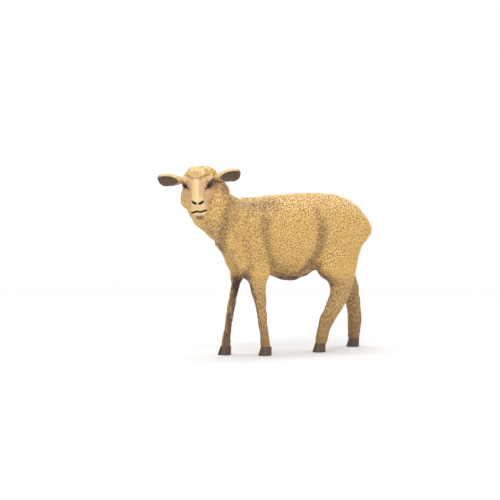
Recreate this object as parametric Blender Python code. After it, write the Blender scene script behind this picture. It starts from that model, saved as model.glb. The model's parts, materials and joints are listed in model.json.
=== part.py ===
"""Toy sheep figure: a hollow two-half trunk with a plugged-in head, ears, legs and tail.

The animal stands on +Z and faces -X, with its left side towards -Y and its head turned to the left.
Lengths are metres. The outer form is made once as one skin, then parted at the seams of the castings,
so that neighbouring castings always meet flush.
"""

import math

import bmesh
import bpy
from mathutils import Matrix, Vector

# Trunk, from the front of the chest to the rump
TRUNK_LENGTH = 0.104
TRUNK_WIDTH = 0.038
TRUNK_DEPTH = 0.052
BACK_HEIGHT = 0.0955
SHELL_WALL = 0.003
CHEST_WALL = 0.016
RUMP_WALL = 0.015
GLUE_GAP = 0.0003
# Each row: place along the trunk, drop of the back line, drop of the belly line, half width
TRUNK_SHARES = (
    (-0.500, 0.490, 0.490, 0.000),
    (-0.492, 0.394, 0.615, 0.132),
    (-0.471, 0.200, 0.721, 0.237),
    (-0.423, 0.075, 0.837, 0.342),
    (-0.346, 0.046, 0.913, 0.421),
    (-0.212, 0.020, 0.967, 0.474),
    (-0.058, 0.004, 1.002, 0.500),
    (0.077, 0.000, 0.906, 0.495),
    (0.192, 0.010, 0.825, 0.479),
    (0.298, 0.052, 0.775, 0.453),
    (0.385, 0.144, 0.690, 0.385),
    (0.447, 0.262, 0.600, 0.285),
    (0.486, 0.360, 0.520, 0.165),
    (0.500, 0.450, 0.450, 0.000),
)

# Neck, from inside the shoulders to the back of the head
NECK_ROOT_SETBACK = 0.024
NECK_ROOT_DROP = 0.023
NECK_REACH = 0.050
NECK_RISE = 0.0315
NECK_SWING = 0.005
NECK_WIDTH = 0.030
NECK_NAPE = 0.020
NECK_THROAT = 0.022
# Each row: reach, rise and swing of the centre, then width, nape and throat sizes
NECK_SHARES = (
    (0.000, 0.000, 0.000, 0.000, 0.000, 0.000),
    (0.030, 0.000, 0.000, 0.533, 0.550, 0.545),
    (0.160, 0.016, 0.000, 0.967, 0.950, 0.864),
    (0.346, 0.117, 0.060, 1.087, 0.800, 0.923),
    (0.470, 0.241, 0.160, 0.980, 0.645, 0.741),
    (0.722, 0.505, 0.240, 0.887, 0.515, 0.727),
    (0.820, 0.600, 0.360, 0.893, 0.530, 0.682),
    (0.876, 0.790, 0.600, 0.893, 0.575, 0.600),
    (0.960, 0.930, 0.820, 0.620, 0.430, 0.350),
    (1.000, 1.000, 1.000, 0.000, 0.000, 0.000),
)

# Head, placed from the end of the neck. In its own frame +X runs along the muzzle, +Y to the left ear and
# +Z out of the forehead, from an origin midway between the eyes.
HEAD_REACH = 0.0038
HEAD_SWING = 0.0035
HEAD_DROP = 0.0035
HEAD_TURN = math.radians(48.5)
HEAD_NOD = math.radians(30.0)
HEAD_TILT = math.radians(5.0)
HEAD_LENGTH = 0.0415
HEAD_WIDTH = 0.020
FOREHEAD_RISE = 0.008
JAW_DROP = 0.0125
SKULL_SHARE = 0.41
# Each row: place along the head, half width, rise of the forehead line, drop of the jaw line
HEAD_SHARES = (
    (0.000, 0.000, 0.00, 0.00),
    (0.030, 0.210, 0.45, 0.28),
    (0.110, 0.400, 0.88, 0.60),
    (0.250, 0.500, 1.00, 0.92),
    (0.410, 0.462, 0.80, 1.00),
    (0.540, 0.370, 0.66, 0.90),
    (0.660, 0.290, 0.58, 0.78),
    (0.780, 0.245, 0.52, 0.70),
    (0.880, 0.242, 0.46, 0.66),
    (0.950, 0.195, 0.30, 0.55),
    (0.987, 0.110, 0.08, 0.38),
    (1.000, 0.000, -0.12, 0.15),
)

# Places on the head, as shares of its length, of its width, and of the forehead's rise or the jaw's drop
TOPKNOT_PLACE_SHARES = (-0.1325, 0.0, 0.475)
RUFF_PLACE_SHARES = (-0.0964, 0.0, -0.784)
EYE_PLACE_SHARES = (0.0, 0.37, 0.35)
NOSTRIL_PLACE_SHARES = (0.542, 0.11, 0.225)
MOUTH_PLACE_SHARES = (0.518, 0.0, -0.352)
EAR_PLACE_SHARES = (-0.1446, 0.41, 0.125)

# Cap of wool on the forehead and ruff round the jaw, as half sizes along the head's own axes
TOPKNOT_LONG = 0.0080
TOPKNOT_WIDE = 0.0080
TOPKNOT_HIGH = 0.0060
RUFF_LONG = 0.0075
RUFF_WIDE = 0.0122
RUFF_HIGH = 0.0105

# Face details
EYE_RADIUS = 0.0022
BROW_LENGTH = 0.0042
BROW_THICK = 0.0013
NOSTRIL_DEPTH = 0.0026
NOSTRIL_LENGTH = 0.0026
NOSTRIL_WIDTH = 0.0010
NOSTRIL_SLANT = math.radians(30.0)
MOUTH_WIDTH = 0.0078
MOUTH_HEIGHT = 0.0008

# Ears, whose stems plug into the sides of the head
EAR_LENGTH = 0.0166
EAR_HEIGHT = 0.0074
EAR_THICK = 0.0036
EAR_STEM_HEIGHT = 0.0030
EAR_STEM_THICK = 0.0024
EAR_STEM_DEPTH = 0.0040
EAR_LIFT = math.radians(8.0)
EAR_SWEEP = math.radians(6.0)
EAR_BACK_WALL = 0.0015
EAR_RIM_WALL = 0.0011
# Middle and half length of the hollow of an ear, as shares of its length
EAR_HOLLOW_SHARES = (0.56, 0.36)
# Each row: place along the ear, half height, half thickness
EAR_SHARES = (
    (0.00, 0.22, 0.33),
    (0.10, 0.28, 0.36),
    (0.25, 0.40, 0.42),
    (0.45, 0.49, 0.46),
    (0.65, 0.50, 0.44),
    (0.83, 0.41, 0.36),
    (0.94, 0.25, 0.24),
    (1.00, 0.00, 0.00),
)

# Legs. Each row: height, half size along the trunk, half size across it, track, and sway, which moves the
# centre by a share of that leg's step. Heights run from 0 above the hoof to 1 at the seam and 2 at the top.
SHOULDER_DROP = 0.0135
SHOULDER_SETBACK = 0.0095
FORELEG_LENGTHWISE = 0.022
FORELEG_CROSSWISE = 0.019
FORE_TRACK = 0.018
LEFT_FORE_STEP = 0.010
RIGHT_FORE_STEP = -0.0065
LEFT_FORE_SHARES = (
    (2.000, 0.000, 0.000, 0.90, 0.00),
    (1.966, 0.210, 0.200, 0.93, 0.00),
    (1.841, 0.400, 0.370, 1.00, 0.00),
    (1.613, 0.500, 0.470, 1.08, 0.00),
    (1.339, 0.500, 0.500, 1.09, 0.00),
    (1.134, 0.450, 0.450, 1.07, 0.08),
    (1.043, 0.375, 0.410, 1.06, 0.15),
    (0.972, 0.275, 0.330, 1.04, 0.27),
    (0.902, 0.223, 0.265, 1.03, 0.32),
    (0.758, 0.186, 0.210, 1.01, 0.44),
    (0.610, 0.150, 0.174, 1.00, 0.58),
    (0.414, 0.125, 0.148, 1.00, 0.70),
    (0.170, 0.114, 0.138, 1.00, 0.85),
    (0.074, 0.130, 0.150, 1.00, 0.90),
    (0.018, 0.126, 0.148, 1.00, 0.93),
)
RIGHT_FORE_SHARES = (
    (2.000, 0.000, 0.000, 0.90, -0.30),
    (1.966, 0.200, 0.200, 0.93, -0.30),
    (1.841, 0.360, 0.370, 1.00, -0.30),
    (1.613, 0.440, 0.470, 1.08, -0.50),
    (1.339, 0.410, 0.490, 1.09, -0.60),
    (1.134, 0.336, 0.400, 1.07, -0.85),
    (1.043, 0.255, 0.315, 1.05, -0.74),
    (0.972, 0.155, 0.200, 1.03, -0.30),
    (0.902, 0.118, 0.153, 1.02, -0.16),
    (0.758, 0.100, 0.130, 1.01, 0.08),
    (0.610, 0.098, 0.127, 1.00, 0.31),
    (0.414, 0.095, 0.124, 1.00, 0.59),
    (0.170, 0.095, 0.127, 1.00, 0.86),
    (0.074, 0.118, 0.145, 1.00, 0.95),
    (0.018, 0.116, 0.142, 1.00, 0.98),
)
HAUNCH_DROP = 0.0095
HAUNCH_SETBACK = 0.024
HIND_LEG_LENGTHWISE = 0.043
HIND_LEG_CROSSWISE = 0.020
HIND_TRACK = 0.0195
LEFT_HIND_STEP = -0.020
RIGHT_HIND_STEP = 0.0225
LEFT_HIND_SHARES = (
    (2.000, 0.000, 0.000, 0.80, 0.00),
    (1.962, 0.150, 0.180, 0.83, 0.00),
    (1.847, 0.300, 0.370, 0.92, 0.02),
    (1.645, 0.390, 0.480, 1.00, 0.16),
    (1.423, 0.381, 0.500, 1.03, 0.38),
    (1.245, 0.344, 0.460, 1.04, 0.41),
    (1.184, 0.323, 0.440, 1.04, 0.42),
    (1.111, 0.284, 0.380, 1.04, 0.35),
    (1.056, 0.233, 0.335, 1.03, 0.28),
    (1.000, 0.187, 0.300, 1.02, 0.23),
    (0.888, 0.164, 0.265, 1.01, 0.20),
    (0.721, 0.152, 0.245, 1.00, 0.32),
    (0.556, 0.140, 0.215, 1.00, 0.52),
    (0.473, 0.137, 0.205, 1.00, 0.64),
    (0.334, 0.112, 0.185, 1.00, 0.79),
    (0.196, 0.093, 0.170, 1.00, 0.89),
    (0.100, 0.093, 0.170, 1.00, 0.94),
    (0.033, 0.088, 0.165, 1.00, 0.96),
)
RIGHT_HIND_SHARES = (
    (2.000, 0.000, 0.000, 0.80, 0.00),
    (1.962, 0.150, 0.180, 0.83, 0.00),
    (1.847, 0.300, 0.370, 0.92, 0.00),
    (1.645, 0.430, 0.480, 1.00, 0.00),
    (1.423, 0.465, 0.500, 1.02, 0.03),
    (1.245, 0.372, 0.450, 1.03, 0.24),
    (1.111, 0.275, 0.380, 1.03, 0.42),
    (1.056, 0.214, 0.335, 1.03, 0.59),
    (0.972, 0.172, 0.290, 1.02, 0.73),
    (0.833, 0.140, 0.250, 1.01, 0.84),
    (0.666, 0.120, 0.210, 1.00, 0.94),
    (0.444, 0.107, 0.180, 1.00, 1.01),
    (0.320, 0.112, 0.185, 1.00, 1.02),
    (0.196, 0.102, 0.180, 1.00, 1.01),
    (0.100, 0.095, 0.172, 1.00, 1.00),
    (0.033, 0.090, 0.165, 1.00, 0.99),
)
HOOF_HEIGHT = 0.0050
HOOF_LENGTH = 0.0086
HOOF_WIDTH = 0.0078
HOOF_TOE = 0.0011
HOOF_CLEFT = 0.0008
CORONET_SHARE = 0.80

# Tail, which hangs against the rump in its own shallow groove
TAIL_ROOT_SETBACK = 0.009
TAIL_ROOT_DROP = 0.0095
TAIL_LENGTH = 0.029
TAIL_BULGE = 0.008
TAIL_WIDTH = 0.0090
TAIL_THICK = 0.0056
# Each row: drop, distance back from the root, half width, half thickness
TAIL_SHARES = (
    (0.00, 0.02, 0.00, 0.00),
    (0.05, 0.14, 0.30, 0.30),
    (0.18, 0.38, 0.44, 0.46),
    (0.33, 0.78, 0.50, 0.50),
    (0.46, 1.00, 0.50, 0.50),
    (0.57, 0.86, 0.48, 0.48),
    (0.68, 0.60, 0.44, 0.45),
    (0.80, 0.30, 0.38, 0.40),
    (0.92, 0.10, 0.27, 0.29),
    (0.98, 0.05, 0.15, 0.16),
    (1.00, 0.04, 0.00, 0.00),
)

# Seams, pegs and sockets that join the castings. A leg seam lies below the back by a share of the trunk's
# depth. Each row of the neck seam is a point on it, as shares of the neck's reach and rise.
FORE_SEAM_SHARE = 0.952
HIND_SEAM_SHARE = 1.048
NECK_SEAM_SHARES = (
    (0.36, 0.683),
    (0.64, -0.333),
)
FORELEG_PEG_RADIUS = 0.0020
HIND_LEG_PEG_RADIUS = 0.0028
LEG_PEG_LENGTH = 0.0055
NECK_PEG_RADIUS = 0.0070
NECK_PEG_LENGTH = 0.0080
TAIL_PEG_RADIUS = 0.0014
TAIL_PEG_LENGTH = 0.0050
SOCKET_SPARE_DEPTH = 0.0005
SEAM_PIN_RADIUS = 0.0015
SEAM_PIN_LENGTH = 0.0035
SEAM_BOSS_WALL = 0.0018
# Each row: place along the trunk, drop from the back line
SEAM_PIN_SHARES = (
    (-0.24, 0.20),
    (0.26, 0.22),
    (-0.03, 0.79),
)

# Fineness of the skins
TRUNK_SIDES = 28
HEAD_SIDES = 24
LEG_SIDES = 16
EAR_SIDES = 18
PEG_SIDES = 20
TOPKNOT_SIDES = 20
ROW_STEPS = 2
OVERRUN = 0.002
WELD_REACH = 0.00002
SLICE_REACH = 0.000001

SHARP_EDGE = math.radians(40.0)

ALONG = Vector((1, 0, 0))
ACROSS = Vector((0, 1, 0))
UP = Vector((0, 0, 1))

# Paint of each casting: colour and roughness
PAINTS = {
    "torso_left": ((0.56, 0.36, 0.12, 1.0), 0.62),
    "torso_right": ((0.56, 0.36, 0.12, 1.0), 0.62),
    "head": ((0.66, 0.47, 0.22, 1.0), 0.50),
    "left_ear": ((0.42, 0.29, 0.15, 1.0), 0.55),
    "right_ear": ((0.42, 0.29, 0.15, 1.0), 0.55),
    "left_foreleg": ((0.52, 0.34, 0.12, 1.0), 0.58),
    "right_foreleg": ((0.52, 0.34, 0.12, 1.0), 0.58),
    "left_hind_leg": ((0.52, 0.34, 0.12, 1.0), 0.58),
    "right_hind_leg": ((0.52, 0.34, 0.12, 1.0), 0.58),
    "tail": ((0.54, 0.35, 0.12, 1.0), 0.62),
}


def clear_scene():
    for old in list(bpy.data.objects):
        bpy.data.objects.remove(old, do_unlink=True)


def paint(name):
    colour, roughness = PAINTS[name]
    material = bpy.data.materials.new(name + "_paint")
    material.use_nodes = True
    shader = material.node_tree.nodes["Principled BSDF"]
    shader.inputs["Base Color"].default_value = colour
    shader.inputs["Roughness"].default_value = roughness
    shader.inputs["Metallic"].default_value = 0.0
    return material


def object_from(name, bm):
    bmesh.ops.recalc_face_normals(bm, faces=bm.faces)
    mesh = bpy.data.meshes.new(name)
    bm.to_mesh(mesh)
    bm.free()
    made = bpy.data.objects.new(name, mesh)
    bpy.context.scene.collection.objects.link(made)
    return made


def copy_of(source, name):
    made = source.copy()
    made.data = source.data.copy()
    made.name = name
    bpy.context.scene.collection.objects.link(made)
    return made


def weld(mesh):
    """Closes up the slivers that a Boolean can leave."""
    bm = bmesh.new()
    bm.from_mesh(mesh)
    bmesh.ops.remove_doubles(bm, verts=bm.verts, dist=WELD_REACH)
    bmesh.ops.dissolve_degenerate(bm, dist=WELD_REACH, edges=bm.edges)
    bmesh.ops.delete(bm, geom=[edge for edge in bm.edges if edge.is_wire], context="EDGES")
    bmesh.ops.edgeloop_fill(bm, edges=[edge for edge in bm.edges if edge.is_boundary])
    bm.to_mesh(mesh)
    bm.free()


def combine(body, tool, operation):
    """Joins or cuts body with tool, and takes the tool away."""
    modifier = body.modifiers.new(operation, "BOOLEAN")
    modifier.object = tool
    modifier.operation = operation
    modifier.solver = "EXACT"
    graph = bpy.context.evaluated_depsgraph_get()
    mesh = bpy.data.meshes.new_from_object(body.evaluated_get(graph))
    body.modifiers.clear()
    body.data = mesh
    weld(mesh)
    bpy.data.objects.remove(tool, do_unlink=True)
    return body


def join(body, *tools):
    for tool in tools:
        combine(body, tool, "UNION")
    return body


def cut(body, *tools):
    for tool in tools:
        combine(body, tool, "DIFFERENCE")
    return body


def keep_side(body, point, normal):
    """Slices body through a plane, keeps the side that the normal points to and closes the cut."""
    bm = bmesh.new()
    bm.from_mesh(body.data)
    plane = {"plane_co": point, "plane_no": normal, "dist": SLICE_REACH}
    bmesh.ops.bisect_plane(bm, geom=bm.verts[:] + bm.edges[:] + bm.faces[:], clear_inner=True, **plane)
    bmesh.ops.edgeloop_fill(bm, edges=[edge for edge in bm.edges if edge.is_boundary])
    bm.to_mesh(body.data)
    bm.free()


def spline(t, a, b, c, d):
    """The Catmull-Rom value at t on the way from b to c."""
    return b + t * ((c - a) + t * ((2 * a - 5 * b + 4 * c - d) + t * (3 * (b - c) + d - a))) / 2


def smooth_rows(rows, steps):
    """Catmull-Rom rows through the given ones, so that a few stations make a smooth form."""
    padded = [rows[0], *rows, rows[-1]]
    made = []
    for before, here, there, after in zip(padded, padded[1:], padded[2:], padded[3:]):
        for step in range(steps):
            t = step / steps
            made.append(tuple(spline(t, *values) for values in zip(before, here, there, after)))
    return [*made, tuple(rows[-1])]


def oval(centre, across, up, half_across, half_up, half_down, sides):
    """Points of an oval whose upper and lower halves may differ in height."""
    points = []
    for n in range(sides):
        angle = 2 * math.pi * n / sides
        rise = math.sin(angle)
        height = half_up if rise > 0 else half_down
        points.append(centre + across * (half_across * math.cos(angle)) + up * (height * rise))
    return points


def loft(name, rings):
    """A closed skin over rings of points. An end ring of more than one point gets a flat face."""
    bm = bmesh.new()
    rows = [[bm.verts.new(point) for point in ring] for ring in rings]
    for row, following in zip(rows, rows[1:]):
        count = max(len(row), len(following))
        for n in range(count):
            after = (n + 1) % count
            if len(row) == 1:
                bm.faces.new((row[0], following[after], following[n]))
            elif len(following) == 1:
                bm.faces.new((row[n], row[after], following[0]))
            else:
                bm.faces.new((row[n], row[after], following[after], following[n]))
    for row in (rows[0], rows[-1]):
        if len(row) > 1:
            bm.faces.new(row)
    return object_from(name, bm)


def path_rings(stations, grow, sides):
    """Rings square to the path of the stations, each a centre, half width, upper half and lower half."""
    centres = [station[0] for station in stations]
    last = len(stations) - 1
    rings = []
    for n, (centre, half_across, half_up, half_down) in enumerate(stations):
        along = (centres[min(n + 1, last)] - centres[max(n - 1, 0)]).normalized()
        if n in (0, last):
            rings.append([centre + along * (grow if n else -grow)])
            continue
        across = UP.cross(along).normalized()
        up = along.cross(across)
        rings.append(oval(centre, across, up, half_across + grow, half_up + grow, half_down + grow, sides))
    return rings


def ellipsoid(name, centre, halves, sides):
    bm = bmesh.new()
    bmesh.ops.create_uvsphere(bm, u_segments=sides, v_segments=sides // 2, radius=1)
    bm.transform(Matrix.Translation(centre) @ Matrix.Diagonal((*halves, 1)))
    return object_from(name, bm)


def rod(name, start, end, radius, sides=PEG_SIDES):
    """A cylinder from start to end."""
    along = end - start
    across = along.orthogonal().normalized()
    up = along.normalized().cross(across)
    return loft(name, [oval(point, across, up, radius, radius, radius, sides) for point in (start, end)])


def block(name, low, high):
    bm = bmesh.new()
    bmesh.ops.create_cube(bm, size=1)
    middle = (Vector(low) + Vector(high)) / 2
    size = Vector(high) - Vector(low)
    bm.transform(Matrix.Translation(middle) @ Matrix.Diagonal((*size, 1)))
    return object_from(name, bm)


def trunk_form(name, front_wall=0.0, back_wall=0.0, side_wall=0.0):
    """The barrel from chest to rump, or with walls the hollow inside it."""
    front = front_wall - TRUNK_LENGTH / 2
    length = TRUNK_LENGTH - front_wall - back_wall
    rings = []
    rows = smooth_rows(TRUNK_SHARES, ROW_STEPS)
    for row in rows:
        along, back_drop, belly_drop, half_width = row
        middle = BACK_HEIGHT - (back_drop + belly_drop) * TRUNK_DEPTH / 2
        centre = Vector((front + (along + 0.5) * length, 0, middle))
        if row in (rows[0], rows[-1]):
            rings.append([centre])
            continue
        wide = half_width * TRUNK_WIDTH - side_wall
        high = (belly_drop - back_drop) * TRUNK_DEPTH / 2 - side_wall
        if min(wide, high) > 0:
            rings.append(oval(centre, ACROSS, UP, wide, high, high, TRUNK_SIDES))
    return loft(name, rings)


def on_neck(reach, rise, swing):
    """A place from shares of the neck's own reach, rise and swing."""
    root = Vector((NECK_ROOT_SETBACK - TRUNK_LENGTH / 2, 0, BACK_HEIGHT - NECK_ROOT_DROP))
    return root + Vector((-reach * NECK_REACH, -swing * NECK_SWING, rise * NECK_RISE))


def neck_stations():
    stations = []
    for reach, rise, swing, width, nape, throat in smooth_rows(NECK_SHARES, ROW_STEPS):
        centre = on_neck(reach, rise, swing)
        stations.append((centre, width * NECK_WIDTH / 2, nape * NECK_NAPE, throat * NECK_THROAT))
    return stations


def neck_form(name):
    return loft(name, path_rings(neck_stations(), 0, HEAD_SIDES))


def head_frame():
    """Places the head's own frame, whose origin lies midway between the eyes."""
    place = Matrix.Translation(on_neck(1, 1, 1) - Vector((HEAD_REACH, HEAD_SWING, HEAD_DROP)))
    turn = Matrix.Rotation(math.pi + HEAD_TURN, 4, "Z")
    nod = Matrix.Rotation(HEAD_NOD, 4, "Y")
    tilt = Matrix.Rotation(HEAD_TILT, 4, "X")
    return place @ turn @ nod @ tilt


def on_head(shares, side=1):
    """A place in the head's own frame, from shares of its length, width and height."""
    along, across, rise = shares
    height = FOREHEAD_RISE if rise > 0 else JAW_DROP
    return Vector((along * HEAD_LENGTH, side * across * HEAD_WIDTH, rise * height))


def skull_form(name):
    rings = []
    rows = smooth_rows(HEAD_SHARES, ROW_STEPS)
    for row in rows:
        along, half_width, rise, drop = row
        x = (along - SKULL_SHARE) * HEAD_LENGTH
        if row in (rows[0], rows[-1]):
            rings.append([Vector((x, 0, (rise * FOREHEAD_RISE - drop * JAW_DROP) / 2))])
            continue
        top, bottom = rise * FOREHEAD_RISE, -drop * JAW_DROP
        centre = Vector((x, 0, (top + bottom) / 2))
        wide, high = half_width * HEAD_WIDTH, (top - bottom) / 2
        rings.append(oval(centre, ACROSS, UP, wide, high, high, HEAD_SIDES))
    return loft(name, rings)


def eye_parts(side):
    """The raised eye and the lid over it, on one side of the head."""
    eye_place = on_head(EYE_PLACE_SHARES, side)
    eye = ellipsoid("eye", eye_place, (EYE_RADIUS, EYE_RADIUS, EYE_RADIUS), LEG_SIDES)
    brow_place = eye_place + Vector((0, 0, EYE_RADIUS))
    brow = ellipsoid("brow", brow_place, (BROW_LENGTH, BROW_THICK, BROW_THICK), LEG_SIDES)
    return eye, brow


def nostril_cutter(side):
    halves = (NOSTRIL_DEPTH, NOSTRIL_LENGTH / 2, NOSTRIL_WIDTH / 2)
    made = ellipsoid("nostril", Vector((0, 0, 0)), halves, LEG_SIDES)
    slant = Matrix.Rotation(side * NOSTRIL_SLANT, 4, "X")
    made.data.transform(Matrix.Translation(on_head(NOSTRIL_PLACE_SHARES, side)) @ slant)
    return made


def mouth_cutter():
    middle = on_head(MOUTH_PLACE_SHARES)
    half = Vector((0, MOUTH_WIDTH / 2, MOUTH_HEIGHT / 2))
    return block("mouth", middle - half, middle + half + Vector((HEAD_LENGTH / 2, 0, 0)))


def head_form(name):
    """Skull, wool cap and ruff, turned into place."""
    head = skull_form(name)
    cap_halves = (TOPKNOT_LONG, TOPKNOT_WIDE, TOPKNOT_HIGH)
    join(head, ellipsoid("topknot", on_head(TOPKNOT_PLACE_SHARES), cap_halves, TOPKNOT_SIDES))
    join(head, ellipsoid("ruff", on_head(RUFF_PLACE_SHARES), (RUFF_LONG, RUFF_WIDE, RUFF_HIGH), HEAD_SIDES))
    head.data.transform(head_frame())
    return head


def shape_face(head):
    """Raises the eyes and brows and cuts the nostrils and mouth."""
    for side in (1, -1):
        for made in eye_parts(side):
            made.data.transform(head_frame())
            join(head, made)
        nostril = nostril_cutter(side)
        nostril.data.transform(head_frame())
        cut(head, nostril)
    mouth = mouth_cutter()
    mouth.data.transform(head_frame())
    cut(head, mouth)


def ear_frame(side):
    """The ear's own frame: +X along the ear and +Z up, so that side times -Y is towards the muzzle."""
    root = Matrix.Translation(on_head(EAR_PLACE_SHARES, side))
    outward = Matrix.Rotation(side * math.pi / 2, 4, "Z")
    sweep = Matrix.Rotation(side * EAR_SWEEP, 4, "Z")
    lift = Matrix.Rotation(-EAR_LIFT, 4, "Y")
    return head_frame() @ root @ sweep @ outward @ lift


def ear_leaf(name, side, grow):
    """The leaf of an ear, grown by a clearance where it has to cut the head."""
    rings = []
    rows = smooth_rows(EAR_SHARES, ROW_STEPS)
    for row in rows:
        along, half_height, half_thick = row
        x = along * EAR_LENGTH
        if row == rows[-1]:
            rings.append([Vector((x + grow, 0, 0))])
            continue
        across, up = half_thick * EAR_THICK + grow, half_height * EAR_HEIGHT + grow
        rings.append(oval(Vector((x, 0, 0)), ACROSS, UP, across, up, up, EAR_SIDES))
    leaf = loft(name, rings)
    leaf.data.transform(ear_frame(side))
    return leaf


def ear_stem(name, side, grow, depth):
    """The oval plug on the ear's root. It starts inside the leaf and runs depth into the head."""
    across, up = EAR_STEM_THICK / 2 + grow, EAR_STEM_HEIGHT / 2 + grow
    ends = (Vector((EAR_LENGTH * EAR_SHARES[1][0], 0, 0)), Vector((-depth, 0, 0)))
    stem = loft(name, [oval(end, ACROSS, UP, across, up, up, EAR_SIDES) for end in ends])
    stem.data.transform(ear_frame(side))
    return stem


def ear_casting(name, side):
    """A leaf hollowed on the side of the muzzle, with its stem."""
    ear = ear_leaf(name, side, 0)
    middle_share, half_share = EAR_HOLLOW_SHARES
    back = EAR_THICK / 2 - EAR_BACK_WALL
    place = Vector((EAR_LENGTH * middle_share, -side * (EAR_THICK - back), -EAR_RIM_WALL))
    halves = (EAR_LENGTH * half_share, EAR_THICK, EAR_HEIGHT / 2 - EAR_RIM_WALL)
    hollow = ellipsoid("hollow", place, halves, EAR_SIDES)
    hollow.data.transform(ear_frame(side))
    cut(ear, hollow)
    return join(ear, ear_stem("stem", side, 0, EAR_STEM_DEPTH))


def leg_centre(leg, row):
    level, _, _, spread, sway = row
    upper, lower = max(level - 1, 0), min(level, 1)
    rise = HOOF_HEIGHT + lower * (leg["seam"] - HOOF_HEIGHT) + upper * (leg["height"] - leg["seam"])
    return Vector((leg["hip"] + sway * leg["step"], leg["side"] * spread * leg["track"] / 2, rise))


def leg_form(name, leg):
    """A leg from the shoulder or haunch down to its flat sole."""
    rings = []
    rows = smooth_rows(leg["shares"], ROW_STEPS)
    for row in rows:
        centre = leg_centre(leg, row)
        if row == rows[0]:
            rings.append([centre])
            continue
        half_long, half_wide = row[1] * leg["lengthwise"], row[2] * leg["crosswise"]
        rings.append(oval(centre, ALONG, ACROSS, half_long, half_wide, half_wide, LEG_SIDES))
    foot = sole_centre(leg)
    for rise, scale in ((HOOF_HEIGHT, CORONET_SHARE), (0, 1)):
        toe = HOOF_TOE * (1 - rise / HOOF_HEIGHT)
        centre = foot + Vector((-toe, 0, rise))
        half_long, half_wide = scale * HOOF_LENGTH / 2, scale * HOOF_WIDTH / 2
        rings.append(oval(centre, ALONG, ACROSS, half_long, half_wide, half_wide, LEG_SIDES))
    return loft(name, rings)


def sole_centre(leg):
    return Vector((leg["hip"] + leg["step"], leg["side"] * leg["track"] / 2, 0))


def seam_centre(leg):
    """The middle of the leg where the seam crosses it."""
    centres = [leg_centre(leg, row) for row in smooth_rows(leg["shares"], ROW_STEPS)]
    for upper, lower in zip(centres, centres[1:]):
        if lower.z <= leg["seam"]:
            return upper.lerp(lower, (upper.z - leg["seam"]) / (upper.z - lower.z))
    return sole_centre(leg)


def legs():
    """The four legs' sizes, by the names of their castings."""
    fore = {
        "hip": SHOULDER_SETBACK - TRUNK_LENGTH / 2,
        "height": BACK_HEIGHT - SHOULDER_DROP,
        "track": FORE_TRACK,
        "lengthwise": FORELEG_LENGTHWISE,
        "crosswise": FORELEG_CROSSWISE,
        "peg": FORELEG_PEG_RADIUS,
        "seam": BACK_HEIGHT - FORE_SEAM_SHARE * TRUNK_DEPTH,
    }
    hind = {
        "hip": TRUNK_LENGTH / 2 - HAUNCH_SETBACK,
        "height": BACK_HEIGHT - HAUNCH_DROP,
        "track": HIND_TRACK,
        "lengthwise": HIND_LEG_LENGTHWISE,
        "crosswise": HIND_LEG_CROSSWISE,
        "peg": HIND_LEG_PEG_RADIUS,
        "seam": BACK_HEIGHT - HIND_SEAM_SHARE * TRUNK_DEPTH,
    }
    return {
        "left_foreleg": {**fore, "side": -1, "step": LEFT_FORE_STEP, "shares": LEFT_FORE_SHARES},
        "right_foreleg": {**fore, "side": 1, "step": RIGHT_FORE_STEP, "shares": RIGHT_FORE_SHARES},
        "left_hind_leg": {**hind, "side": -1, "step": LEFT_HIND_STEP, "shares": LEFT_HIND_SHARES},
        "right_hind_leg": {**hind, "side": 1, "step": RIGHT_HIND_STEP, "shares": RIGHT_HIND_SHARES},
    }


def leg_peg(name, leg, grow, length):
    """The upright peg on a leg's seam face. It starts a little below the seam so that it joins the leg."""
    foot = seam_centre(leg)
    return rod(name, foot - Vector((0, 0, OVERRUN)), foot + Vector((0, 0, length)), leg["peg"] + grow)


def leg_casting(name, leg):
    limb = leg_form(name, leg)
    keep_side(limb, (0, 0, leg["seam"] - GLUE_GAP), (0, 0, -1))
    join(limb, leg_peg("peg", leg, 0, LEG_PEG_LENGTH))
    sole = sole_centre(leg)
    front = sole.x - HOOF_TOE - HOOF_LENGTH
    low = (front, sole.y - HOOF_CLEFT / 2, -OVERRUN)
    high = (sole.x - HOOF_TOE, sole.y + HOOF_CLEFT / 2, HOOF_HEIGHT)
    return cut(limb, block("cleft", low, high))


def neck_seam():
    """A point on the neck seam, the direction to the head, and the middle of the neck there."""
    nape, throat = (on_neck(reach, rise, 0) for reach, rise in NECK_SEAM_SHARES)
    normal = ACROSS.cross(throat - nape).normalized()
    centres = [station[0] for station in neck_stations()]
    middle = min(centres, key=lambda centre: abs((centre - nape).dot(normal)))
    return nape, normal, middle - normal * (middle - nape).dot(normal)


def neck_peg(name, grow, length):
    _, normal, middle = neck_seam()
    return rod(name, middle + normal * OVERRUN, middle - normal * length, NECK_PEG_RADIUS + grow)


def whole_skin(name):
    """The outer form of the trunk, neck, head and upper legs, before it is parted."""
    skin = trunk_form(name)
    join(skin, neck_form("neck"), head_form("skull"))
    for leg_name, leg in legs().items():
        upper = leg_form(leg_name + "_form", leg)
        keep_side(upper, (0, 0, leg["seam"]), (0, 0, 1))
        join(skin, upper)
    return skin


def pin_place(row):
    along, drop = row
    return Vector((along * TRUNK_LENGTH, 0, BACK_HEIGHT - drop * TRUNK_DEPTH))


def hollow_form(name):
    """The hollow of the trunk, less the bosses that the seam pins stand in."""
    hollow = trunk_form(name, CHEST_WALL, RUMP_WALL, SHELL_WALL)
    half = Vector((0, TRUNK_WIDTH, 0))
    for row in SEAM_PIN_SHARES:
        place = pin_place(row)
        cut(hollow, rod("boss", place - half, place + half, SEAM_PIN_RADIUS + GLUE_GAP + SEAM_BOSS_WALL))
    return hollow


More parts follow.
